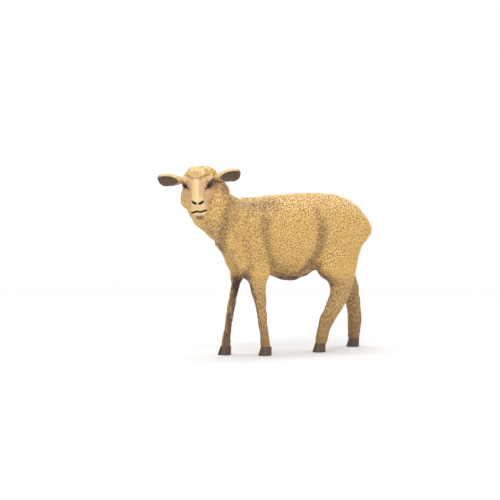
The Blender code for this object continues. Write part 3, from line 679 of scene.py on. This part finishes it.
# depths in millimetres, outwards where they are negative
carving = [
    ("half", ((5.6, -1.2), (7.2, 0.1), (8.8, 1.6)), (0, 3.0), 0.75),  # eye socket
    ("half", ((3.6, 2.6), (6.2, 3.6), (8.6, 4.6), (10.0, 4.9)), (0, 2.0), -0.75),  # brow
    ("half", ((4.8, -1.6), (6.0, 0.9), (7.8, 2.1), (9.4, 2.5)), (0, 0.8), -0.4),  # upper lid
    ("half", ((4.8, -1.6), (6.6, -1.5), (8.4, -0.2), (9.4, 2.0)), (0, 0.8), -0.35),  # lower lid
    ("half", ((5.0, -2.6), (5.4, -6.0), (5.2, -9.0)), (0, 2.4), 0.4),  # hollow of the cheek
    ("half", ((7.4, -2.6), (7.8, -6.0)), (0, 2.6), -0.4),  # cheekbone
    ("half", nostrilLine, (0, 0.95), 1.2),
    ("half", ((1.3, -8.5), (2.9, -7.6), (4.1, -7.9), (4.2, -9.0)), (0, 1.0), -0.3),  # wing of the nostril
    ("half", ((0.0, -10.4), (0.0, -13.6)), (0, 0.6), 0.3),  # groove of the upper lip
    ("half", ((1.2, -13.6), (3.2, -13.4), (4.6, -13.8)), (0, 1.3), -0.35),  # upper lip
    ("half", ((0.0, -16.4), (2.2, -16.2), (3.4, -15.7)), (0, 1.0), -0.4),  # lower lip
    ("half", ((0.0, -17.8), (2.0, -17.4)), (0, 1.2), 0.4),  # under the lower lip
    ("half", ((2.6, 4.0), (2.3, -2.0), (2.1, -7.0)), (0, 1.0), 0.3),  # edge of the nose's bridge
    ("half", ((0.0, 3.8), (0.0, -7.4)), (0, 2.0), -0.3),  # the bridge
    ("half", ((0.0, 8.5), (2.4, 8.6), (2.6, 11.5)), (0, 3.2), -0.5),  # the topknot
    ("half", lobeLine, (0, 1.1), 0.7),
    ("middle", mouthLine, (0.1, 0.7), 0.8),
]

facePaint = {
    "ink": [
        ("half", nostrilLine, (0.5, 0.85), 1.0),
        ("middle", mouthLine, (0.32, 0.72), 1.0),
        ("half", ((4.9, -1.5), (6.4, -0.5)), (0.15, 0.55), 0.9),  # corner of the eye
    ],
    "shade": [
        ("half", ((7.0, 0.3), (8.8, 2.0), (11.2, 4.8)), (0.8, 2.2), 1.0),  # behind the eye
        ("half", ((6.2, 0.0), (7.6, 1.9), (9.6, 3.6), (11.2, 5.2)), (0.3, 1.1), 0.9),  # upper lid
        ("half", ((5.6, -0.9), (7.4, -0.9), (9.6, 0.0), (11.4, 2.6)), (0.0, 2.4), 0.5),  # under the eye
        ("middle", ((-1.0, -18.0), (0.2, -18.3), (1.5, -17.9)), (0.1, 2.2), 0.7),  # chin
        ("half", ((0, 4.6), (2.5, 5.0), (5.0, 6.4), (7.6, 7.0)), (0.1, 0.9), 0.45),  # under the topknot
        ("half", lobeLine, (0.2, 1.3), 0.3),
    ],
    # cream paint on the muzzle and the lower lip, and painted highlights down the bridge of the nose and on the
    # brow
    "creamAndHighlight": [
        ("eyes", ((-1.6, 4.4), (-1.6, -7.4)), (0.9, 2.6), 1.0),  # the bridge of the nose
        ("eyes", ((-0.5, -9.5), (0.3, -14.0)), (3.2, 5.0), 0.75),  # muzzle
        ("middle", ((-2.6, -16.3), (2.8, -15.9)), (0.4, 1.3), 0.75),  # lower lip
        ("half", ((4.5, 3.6), (8.4, 5.4)), (0.6, 2.2), 0.4),  # brow
    ],
}

faceValues = {
    # carving and paint keep off the neck behind the muzzle: how far back they go in the head's frame, by height
    "depths": ((-12.0, -9.0, -5.0, 0.0), (10.0, 4.0, -3.0, -7.0)),
    "depthFade": 3,
    "facing": (0.0, 0.25),
    "rim": 1.44,  # how deep the wool's edge is drawn in round the face
    "knotSides": ((5.6, 7.4), (6.0, 8.0), 0.2),
    "refined": 0.02,  # the least bareness that gets the finer mesh
}


def carveFace(piece):
    points, normals = coordsOf(piece), normalsOf(piece)
    across, height = onDrawing(points)
    beside = besideMiddle(across, height)
    places = {"half": np.abs(beside), "middle": beside, "eyes": across}
    least = np.interp(height, *faceValues["depths"])
    onFace = ease(inHead(points)[:, 0] - least, 0, faceValues["depthFade"])
    facing = ease(normals @ drawing["front"], *faceValues["facing"]) * onFace

    def touch(line):
        place, path, fade, strength = line
        return (1 - ease(nearPath(places[place], height, path), *fade)) * strength

    beyond, above, strength = faceValues["knotSides"]
    masks = {name: np.maximum.reduce([touch(line) for line in lines]) for name, lines in facePaint.items()}
    knotSides = ease(places["half"], *beyond) * ease(height, *above) * strength
    masks["shade"] = np.maximum(masks["shade"], knotSides)
    for name, mask in masks.items():
        storeMask(piece, name, mask * facing)

    bare = bareFace(points)
    depth = sum(touch(line) for line in carving) + faceValues["rim"] * bare * (1 - bare)
    moveTo(piece, points - normals * (depth * facing * mm)[:, None])


def refineFace(piece):  # the bare face gets four times the points
    bare = bareFace(coordsOf(piece)) > faceValues["refined"]
    corners = np.empty(len(piece.data.loops), np.int32)
    piece.data.loops.foreach_get("vertex_index", corners)
    starts = np.empty(len(piece.data.polygons), np.int32)
    piece.data.polygons.foreach_get("loop_start", starts)
    pickFaces(piece, np.logical_or.reduceat(bare[corners], starts))
    bpy.ops.mesh.subdivide(number_cuts=1)
    toObjectMode()


shapeMuzzle(headCast)
shapeTopknot(headCast)
refineFace(headCast)
carveFace(headCast)
growWool(headCast)
slicePiece(headCast, neckPoint, neckNormal)
growWool(skin)
growWool(legCast)
print("wool grown, face carved")


def cutTrunk(piece):  # the head and the legs come off
    slicePiece(piece, neckPoint, -neckNormal)
    slicePiece(
        piece, (0, 0, figure["foreSeam"]), (0, 0, 1),
        lambda c: (c[:, 0] < figure["foreEnd"]) & (c[:, 2] < figure["foreSeamBelow"]),
    )
    slicePiece(piece, (0, 0, figure["hindSeam"]), (0, 0, 1), lambda c: c[:, 2] < figure["hindSeamBelow"])


def closeHoles(piece):  # fills what the cuts left open and drops stray edges and faces
    pickOnly(piece)
    bpy.ops.object.mode_set(mode="EDIT")
    bpy.ops.mesh.select_mode(type="VERT")
    bpy.ops.mesh.select_all(action="SELECT")
    bpy.ops.mesh.delete_loose(use_verts=True, use_edges=True, use_faces=False)
    bpy.ops.mesh.select_all(action="SELECT")
    bpy.ops.mesh.fill_holes(sides=0)
    bpy.ops.mesh.select_all(action="DESELECT")
    bpy.ops.mesh.select_non_manifold(extend=False)
    bpy.ops.mesh.delete(type="VERT")
    bpy.ops.mesh.select_all(action="SELECT")
    bpy.ops.mesh.fill_holes(sides=0)
    bpy.ops.mesh.normals_make_consistent(inside=False)
    bpy.ops.object.mode_set(mode="OBJECT")


def cutTorso(side, name):
    piece = duplicate(skin, name)
    slicePiece(piece, figure["middle"], (0, side, 0))
    closeHoles(piece)
    return piece


def cutLeg(name, side, fore):
    piece = duplicate(legCast, name)
    slicePiece(piece, (0, 0, figure["foreSeam" if fore else "hindSeam"]), (0, 0, -1))
    slicePiece(piece, (figure["foreEnd" if fore else "hindStart"], 0, 0), (-1 if fore else 1, 0, 0))
    slicePiece(piece, figure["middle"], (0, side, 0))
    return piece


cutTrunk(skin)
pieces = {
    "torso_left": cutTorso(-1, "torso_left_wool"),
    "torso_right": cutTorso(1, "torso_right_wool"),
    "head": headCast,
}
for name in legNames:
    pieces[name] = cutLeg(name + "_cast", -1 if "left" in name else 1, "fore" in name)
deletePiece(skin)
deletePiece(legCast)
print("pieces sliced")


# an ear's leaf in the head's frame: s runs along it, t across it and n out of its hollow
earValues = {
    "root": (-6.0, 8.2, 1.0),
    "along": np.array((-0.10, 0.986, 0.13)),
    "wide": np.array((0.01, -0.13, 0.99)),
    "front": np.array((0.995, 0.10, 0.0)),
    "length": 16.6,
    "halfWidth": 3.7,
    "voxel": 0.17 * mm,
    "passes": 4,
    "hollowMiddle": (0.62, -0.10),
    "hollowHalves": (0.43, 0.93),
    "hollowFloor": -0.9,
    "hollowSlope": 2.3,
    "hollowFrom": 0.1,
    "facing": (-0.15, 0.35),
    "lobeHang": 0.7,
    "edgeHang": 0.9,
    "hairWidth": 0.9 * mm,
    "hairDepth": 0.05,
    "darkHollow": (0.66, 1.08),
    "darkTip": (0.80, 0.98),
    "tipStrength": 0.8,
    "highlightEdge": (-0.6, 0.7),
    "streaks": (1.0 * mm, (-1.2, 1.2)),
}


def earPiece(name, side):
    ear = copyCastings([name], name + "_leaf")
    remesh(ear, earValues["voxel"], earValues["passes"])
    points, normals = coordsOf(ear), normalsOf(ear)
    mirror = np.array((1, side, 1))
    local = inHead(points) * mirror - earValues["root"]
    s = local @ earValues["along"] / earValues["length"]
    t = local @ earValues["wide"] / earValues["halfWidth"]
    n = local @ earValues["front"]
    facing = ease((normals @ headTurn) * mirror @ earValues["front"], *earValues["facing"])

    (middleS, middleT), (halfS, halfT) = earValues["hollowMiddle"], earValues["hollowHalves"]
    reach = np.hypot((s - middleS) / halfS, (t - middleT) / halfT)
    floor = earValues["hollowFloor"] + earValues["hollowSlope"] * reach**2
    inHollow = (reach < 1) & (s > earValues["hollowFrom"])
    pressed = (np.where(inHollow, np.minimum(n, floor), n) - n) * facing

    hang = earValues["lobeHang"] * ease(-t, 0.0, 1.0) * ease(s, 0.15, 0.5)
    hang += earValues["edgeHang"] * ease(-t, -0.4, 0.8) * ease(s, 0.5, 0.75) * ease(s, 1.06, 0.88)
    push = headTurn @ (earValues["front"] * mirror)
    down = headTurn @ (earValues["wide"] * mirror)
    hair = earValues["hairDepth"] * waves(points, earValues["hairWidth"], 17)
    moveTo(ear, points + (pressed[:, None] * push - hang[:, None] * down + normals * hair[:, None]) * mm)
    applyModifier(ear, "SMOOTH", factor=0.5, iterations=3)

    hollow = (1 - ease(reach, *earValues["darkHollow"])) * facing * (s > earValues["hollowFrom"])
    length, edges = earValues["streaks"]
    storeMask(ear, "shade", np.maximum(hollow, ease(s, *earValues["darkTip"]) * earValues["tipStrength"]))
    # painted highlight along the ear's upper edge
    storeMask(ear, "top", ease(t, *earValues["highlightEdge"]))
    storeMask(ear, "curl", ease(waves(points, length, 18), *edges))
    return ear


pieces["left_ear"] = earPiece("left_ear", 1)
pieces["right_ear"] = earPiece("right_ear", -1)


tailValues = {
    "voxel": 0.26 * mm,
    "passes": 4,
    "curlDepth": 0.8,  # of the body's
    "curlLevel": 0.75,
    "mistBelow": (66 * mm, 57 * mm),
    "mist": 0.5,
}


def tailPiece():
    tail = copyCastings(["tail"], "tail_wool")
    remesh(tail, tailValues["voxel"], tailValues["passes"])
    points, normals = coordsOf(tail), normalsOf(tail)
    curl = curlHeights(seedCurls(tail, 7), points)
    storeMask(tail, "wool", np.ones(len(points)))
    storeMask(tail, "curl", curl)
    storeMask(tail, "airbrushAndShade", ease(points[:, 2], *tailValues["mistBelow"]) * tailValues["mist"])
    # painted highlight on what faces up
    storeMask(tail, "top", ease(normals[:, 2], *woolValues["highlightUp"]))
    depth = woolValues["curlDepth"] * tailValues["curlDepth"]
    moveTo(tail, points + normals * (depth * (curl - tailValues["curlLevel"]))[:, None])
    return tail


pieces["tail"] = tailPiece()
print("ears and tail done")


eyeValues = {
    "middle": -0.9,  # on the drawing
    "across": 7.05,
    "height": 0.25,
    "halves": (2.6 * mm, 1.55 * mm, 1.3 * mm),  # long, high and deep
    "slant": 35,
    "sunk": 0.75,  # millimetres
    "lookFrom": 40,  # how far in front of the face a ray starts that finds its skin
}


def eyeBead(name, side):
    right = (eyeValues["across"] * side + eyeValues["middle"]) * drawing["right"]
    origin = np.array(headPlace["eyes"]) + (right + eyeValues["height"] * drawing["up"]) * mm
    start = Vector(origin + drawing["front"] * eyeValues["lookFrom"] * mm)
    hit, place, normal, face = pieces["head"].ray_cast(start, Vector(-drawing["front"]))
    bpy.ops.object.select_all(action="DESELECT")
    bpy.ops.mesh.primitive_uv_sphere_add(segments=48, ring_count=32, radius=1)
    bead = bpy.context.object
    bead.name = bead.data.name = name
    turn = normal.to_track_quat("Z", "Y").to_matrix().to_4x4()
    slant = Matrix.Rotation(math.radians(eyeValues["slant"] * side), 4, "Z")
    size = Matrix.Diagonal((*eyeValues["halves"], 1))
    bead.data.transform(Matrix.Translation(place - normal * eyeValues["sunk"] * mm) @ turn @ slant @ size)
    return bead


eyes = [eyeBead("left_eye", 1), eyeBead("right_eye", -1)]
print("eyes set")


def linear(red, green, blue):  # a colour as the eye reads it, 0 to 255, for the nodes
    shares = [part / 255 for part in (red, green, blue)]
    return (*[part / 12.92 if part < 0.04045 else ((part + 0.055) / 1.055) ** 2.4 for part in shares], 1)


paints = {
    # dry-brushed peaks and a dark wash, also painted light on the curls and painted shade in their creases
    "woolPeak": linear(229, 190, 116),
    "woolBody": linear(207, 164, 90),
    "woolCrease": linear(146, 106, 62),
    # the painted highlight on what faces up
    "woolHighlight": linear(238, 210, 156),
    # brown airbrush that also paints shade; the deep brown is painted shade
    "airbrushAndShade": linear(106, 73, 56),
    "paintedDeepShade": linear(66, 44, 32),
    "faceSkin": linear(206, 164, 122),
    "faceTan": linear(200, 160, 104),
    # cream paint, and the painted highlight on the bridge and the brow
    "faceCreamHighlight": linear(230, 198, 138),
    "faceInk": linear(40, 20, 16),
    "faceShade": linear(84, 58, 50),
    "legSkin": linear(164, 124, 66),
    "legLight": linear(190, 150, 84),
    "hoof": linear(84, 64, 50),
    "earHollow": linear(98, 72, 60),
    # painted highlight on the ear's upper rim
    "earRimHighlight": linear(236, 206, 148),
    "earSkin": linear(186, 148, 104),
    "eye": linear(24, 17, 12),
    "eyeGlint": linear(62, 48, 20),
}


def addNode(tree, kind, **settings):
    made = tree.nodes.new(kind)
    for key, value in settings.items():
        setattr(made, key, value)
    return made


def feed(tree, source, socket):
    if hasattr(source, "is_output"):
        tree.links.new(source, socket)
    else:
        socket.default_value = source


def attribute(tree, name):
    return addNode(tree, "ShaderNodeAttribute", attribute_name=name).outputs["Fac"]


def objectPlace(tree):
    return addNode(tree, "ShaderNodeTexCoord").outputs["Object"]


def ramp(tree, source, low, high, start=0.0, end=1.0):
    made = addNode(tree, "ShaderNodeMapRange", interpolation_type="SMOOTHSTEP")
    feed(tree, source, made.inputs["Value"])
    for socket, value in (("From Min", low), ("From Max", high), ("To Min", start), ("To Max", end)):
        made.inputs[socket].default_value = value
    return made.outputs["Result"]


def mixColour(tree, factor, first, second):
    made = addNode(tree, "ShaderNodeMix", data_type="RGBA")
    feed(tree, factor, made.inputs[0])
    feed(tree, first, made.inputs[6])
    feed(tree, second, made.inputs[7])
    return made.outputs[2]


def multiply(tree, first, second):
    made = addNode(tree, "ShaderNodeMath", operation="MULTIPLY")
    feed(tree, first, made.inputs[0])
    feed(tree, second, made.inputs[1])
    return made.outputs["Value"]


def speckle(tree, scale, detail=3.0):
    made = addNode(tree, "ShaderNodeTexNoise")
    tree.links.new(objectPlace(tree), made.inputs["Vector"])
    made.inputs["Scale"].default_value = scale
    made.inputs["Detail"].default_value = detail
    return made.outputs["Fac"]


def newGroup(name, inputs, outputs):
    group = bpy.data.node_groups.new(name, "ShaderNodeTree")
    for label, kind in inputs.items():
        group.interface.new_socket(name=label, in_out="INPUT", socket_type="NodeSocket" + kind)
    for label, kind in outputs.items():
        group.interface.new_socket(name=label, in_out="OUTPUT", socket_type="NodeSocket" + kind)
    return group, addNode(group, "NodeGroupInput").outputs, addNode(group, "NodeGroupOutput").inputs


def useGroup(tree, group, **inputs):
    made = addNode(tree, "ShaderNodeGroup", node_tree=group)
    for name, source in inputs.items():
        feed(tree, source, made.inputs[name])
    return made.outputs


# wool: dry-brushed peaks over a dark wash in the creases, which also stand in for the light on the curls' peaks
# and the shade in their creases
woolGroup, given, made = newGroup("woolPaint", {"Curl": "Float", "Top": "Float"}, {"Color": "Color"})
# painted highlight where the top mask is high
lit = ramp(woolGroup, given["Top"], 0.35, 1.0, 0.0, 0.75)
light = mixColour(woolGroup, lit, paints["woolPeak"], paints["woolHighlight"])
colour = mixColour(woolGroup, ramp(woolGroup, given["Curl"], 0.35, 0.95), paints["woolBody"], light)
# the dark in the creases: wash paint and painted shade
washAndShade = ramp(woolGroup, given["Curl"], 0.45, 0.0)
washAndShade = multiply(woolGroup, washAndShade, ramp(woolGroup, speckle(woolGroup, 220), 0.3, 0.65, 0.55, 1.0))
colour = mixColour(woolGroup, washAndShade, colour, paints["woolCrease"])
mottled = ramp(woolGroup, speckle(woolGroup, 90), 0.35, 0.7, 0.0, 0.18)
feed(woolGroup, mixColour(woolGroup, mottled, colour, paints["woolBody"]), made["Color"])

# airbrush and painted shade: a brown mist that settles in the creases first, darkening to a painted deep shade
# where it is strongest
shadeMistGroup, given, made = newGroup(
    "airbrushMist", {"Color": "Color", "Mist": "Float", "Curl": "Float"}, {"Color": "Color"}
)
hold = ramp(shadeMistGroup, given["Curl"], 0.2, 1.0, 1.0, 0.74)
grain = ramp(shadeMistGroup, speckle(shadeMistGroup, 900, 2.0), 0.3, 0.7, 0.75, 1.1)
mist = multiply(shadeMistGroup, multiply(shadeMistGroup, given["Mist"], hold), grain)
mistedAndShaded = mixColour(shadeMistGroup, mist, given["Color"], paints["airbrushAndShade"])
# a darker painted shade where the mist is strongest
deepShade = ramp(shadeMistGroup, given["Mist"], 0.85, 1.4)
feed(shadeMistGroup, mixColour(shadeMistGroup, deepShade, mistedAndShaded, paints["paintedDeepShade"]), made["Color"])

# skin: two tones broken up by a fine stipple
skinGroup, given, made = newGroup(
    "stippledSkin", {"First": "Color", "Second": "Color"}, {"Color": "Color", "Height": "Float"}
)
coarse = ramp(skinGroup, speckle(skinGroup, 160), 0.35, 0.65)
fine = ramp(skinGroup, speckle(skinGroup, 1100, 2.0), 0.3, 0.7)
stipple = multiply(skinGroup, coarse, fine)
feed(skinGroup, mixColour(skinGroup, stipple, given["First"], given["Second"]), made["Color"])
feed(skinGroup, fine, made["Height"])


# bumps are a strength and a height in millimetres
finishes = {
    "wool": {"roughness": 0.58, "bump": (0.35, 0.12), "grain": 1400},
    "head": {"roughness": 0.5, "bump": (0.25, 0.08)},
    "leg": {"roughness": 0.5, "bump": (0.3, 0.1), "hoofLine": (5.8 * mm, 5.0 * mm)},
    "ear": {"roughness": 0.52, "bump": (0.3, 0.08)},
    "eye": {"roughness": 0.28, "specular": 0.22, "coat": 0.1, "grain": 900},
    "floor": {"roughness": 0.9},
}


def newMaterial(name, finish):
    material = bpy.data.materials.new(name)
    material.use_nodes = True
    shader = material.node_tree.nodes["Principled BSDF"]
    shader.inputs["Roughness"].default_value = finish["roughness"]
    return material, material.node_tree, shader


def addBump(tree, shader, height, strength, distance):
    bump = addNode(tree, "ShaderNodeBump")
    bump.inputs["Strength"].default_value = strength
    bump.inputs["Distance"].default_value = distance * mm
    tree.links.new(height, bump.inputs["Height"])
    tree.links.new(bump.outputs["Normal"], shader.inputs["Normal"])


def fleeceColour(tree, curl):
    return useGroup(tree, woolGroup, Curl=curl, Top=attribute(tree, "top"))["Color"]


def mistAndShadeColour(tree, colour, curl):
    return useGroup(tree, shadeMistGroup, Color=colour, Mist=attribute(tree, "airbrushAndShade"), Curl=curl)["Color"]


def woolMaterial(name, finish):
    material, tree, shader = newMaterial(name, finish)
    curl = attribute(tree, "curl")
    feed(tree, mistAndShadeColour(tree, fleeceColour(tree, curl), curl), shader.inputs["Base Color"])
    addBump(tree, shader, speckle(tree, finish["grain"], 2.0), *finish["bump"])
    return material


def headMaterial(name, finish):
    material, tree, shader = newMaterial(name, finish)
    curl, wool = attribute(tree, "curl"), attribute(tree, "wool")
    fleece = mistAndShadeColour(tree, fleeceColour(tree, curl), curl)
    face = useGroup(tree, skinGroup, First=paints["faceSkin"], Second=paints["faceTan"])
    # cream paint with painted highlights on the bridge of the nose and the brow
    colour = mixColour(tree, attribute(tree, "creamAndHighlight"), face["Color"], paints["faceCreamHighlight"])
    colour = mixColour(tree, ramp(tree, wool, 0.25, 0.75), colour, fleece)
    colour = mixColour(tree, ramp(tree, attribute(tree, "shade"), 0.0, 1.0), colour, paints["faceShade"])
    colour = mixColour(tree, ramp(tree, attribute(tree, "ink"), 0.2, 0.8), colour, paints["faceInk"])
    feed(tree, colour, shader.inputs["Base Color"])
    addBump(tree, shader, face["Height"], *finish["bump"])
    return material


def legMaterial(name, finish):
    material, tree, shader = newMaterial(name, finish)
    curl, wool = attribute(tree, "curl"), attribute(tree, "wool")
    skin = useGroup(tree, skinGroup, First=paints["legSkin"], Second=paints["legLight"])
    colour = mixColour(tree, ramp(tree, wool, 0.1, 0.9), skin["Color"], fleeceColour(tree, curl))
    colour = mistAndShadeColour(tree, colour, curl)
    height = addNode(tree, "ShaderNodeSeparateXYZ")
    tree.links.new(objectPlace(tree), height.inputs[0])
    hoof = ramp(tree, height.outputs["Z"], *finish["hoofLine"])
    feed(tree, mixColour(tree, hoof, colour, paints["hoof"]), shader.inputs["Base Color"])
    addBump(tree, shader, skin["Height"], *finish["bump"])
    return material


def earMaterial(name, finish):
    material, tree, shader = newMaterial(name, finish)
    skin = useGroup(tree, skinGroup, First=paints["earSkin"], Second=paints["legLight"])
    # painted highlight on the ear's upper rim
    colour = mixColour(tree, ramp(tree, attribute(tree, "top"), 0.45, 0.95), skin["Color"], paints["earRimHighlight"])
    hair = ramp(tree, attribute(tree, "curl"), 0.5, 0.0, 0.0, 0.25)
    colour = mixColour(tree, hair, colour, paints["woolCrease"])
    colour = mixColour(tree, ramp(tree, attribute(tree, "shade"), 0.1, 0.9), colour, paints["earHollow"])
    feed(tree, colour, shader.inputs["Base Color"])
    addBump(tree, shader, skin["Height"], *finish["bump"])
    return material


def eyeMaterial(name, finish):
    material, tree, shader = newMaterial(name, finish)
    glint = ramp(tree, speckle(tree, finish["grain"]), 0.4, 0.7, 0.0, 0.5)
    feed(tree, mixColour(tree, glint, paints["eye"], paints["eyeGlint"]), shader.inputs["Base Color"])
    shader.inputs["Specular IOR Level"].default_value = finish["specular"]
    shader.inputs["Coat Weight"].default_value = finish["coat"]
    return material


materials = {
    "wool": woolMaterial("ochre_wool", finishes["wool"]),
    "head": headMaterial("painted_head", finishes["head"]),
    "leg": legMaterial("ochre_leg", finishes["leg"]),
    "ear": earMaterial("painted_ear", finishes["ear"]),
}
slots = {"head": "head", "left_ear": "ear", "right_ear": "ear", **{name: "leg" for name in legNames}}

sharpAngle = math.radians(65)  # the edges of the seams' cuts stay sharp

for name, piece in pieces.items():
    slot = slots.get(name, "wool")
    piece.data.materials.clear()
    piece.data.materials.append(materials[slot])
    pickOnly(piece)
    bpy.ops.object.shade_smooth_by_angle(angle=sharpAngle)
    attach(piece, "root")
    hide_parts(name)

eyePaint = eyeMaterial("gloss_eye", finishes["eye"])
for eye in eyes:
    eye.data.materials.append(eyePaint)
    pickOnly(eye)
    bpy.ops.object.shade_smooth()
    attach(eye, "root")
print("pieces painted")


studio = {
    "floorColour": (0.90, 0.90, 0.90, 1),
    "floorRadius": 0.9,
    "floorFade": (0.16, 0.8),
    "worldStrength": 0.66,
    "camera": (-0.95945, -1.22537, 0.1327),
    "cameraTurn": (90 - 2.604, 0, -37.5),
    "lens": 188.35,
    "lampAim": Vector((0, 0, 0.06)),
    "lamps": {
        "key": {"place": (-0.9, -0.9, 1.1), "size": 0.9, "power": 10.5},
        "fill": {"place": (0.9, -1.0, 0.6), "size": 1.0, "power": 3},
        "top": {"place": (0.1, 0.3, 1.4), "size": 1.0, "power": 7.5},
    },
}

bpy.ops.object.select_all(action="DESELECT")
bpy.ops.mesh.primitive_circle_add(vertices=96, radius=studio["floorRadius"], fill_type="NGON")
floor = bpy.context.object
floor.name = "floor"
floorMaterial, tree, shader = newMaterial("pale_floor", finishes["floor"])
distance = addNode(tree, "ShaderNodeVectorMath", operation="LENGTH")
tree.links.new(objectPlace(tree), distance.inputs[0])
shader.inputs["Base Color"].default_value = studio["floorColour"]
feed(tree, ramp(tree, distance.outputs["Value"], *studio["floorFade"], 1.0, 0.0), shader.inputs["Alpha"])
floor.data.materials.append(floorMaterial)

# the camera sees pure white, and the sheep is lit by a dimmer sky
world = bpy.data.worlds.new("studio")
bpy.context.scene.world = world
world.use_nodes = True
tree = world.node_tree
background = tree.nodes["Background"]
background.inputs["Color"].default_value = (1, 1, 1, 1)
strength = addNode(tree, "ShaderNodeMapRange")
feed(tree, addNode(tree, "ShaderNodeLightPath").outputs["Is Camera Ray"], strength.inputs["Value"])
strength.inputs["To Min"].default_value = studio["worldStrength"]
strength.inputs["To Max"].default_value = 1.0
feed(tree, strength.outputs["Result"], background.inputs["Strength"])

for name, values in studio["lamps"].items():
    bpy.ops.object.light_add(type="AREA", location=values["place"])
    lamp = bpy.context.object
    lamp.name = name
    lamp.data.size = values["size"]
    lamp.data.energy = values["power"]
    lamp.rotation_euler = (studio["lampAim"] - lamp.location).to_track_quat("-Z", "Y").to_euler()

bpy.ops.object.camera_add(location=studio["camera"], rotation=[math.radians(a) for a in studio["cameraTurn"]])
camera = bpy.context.object
camera.data.lens = studio["lens"]
camera.data.sensor_width = 36
camera.data.clip_end = 20
bpy.context.scene.camera = camera
bpy.context.scene.view_settings.view_transform = "Standard"

print("scene ready")
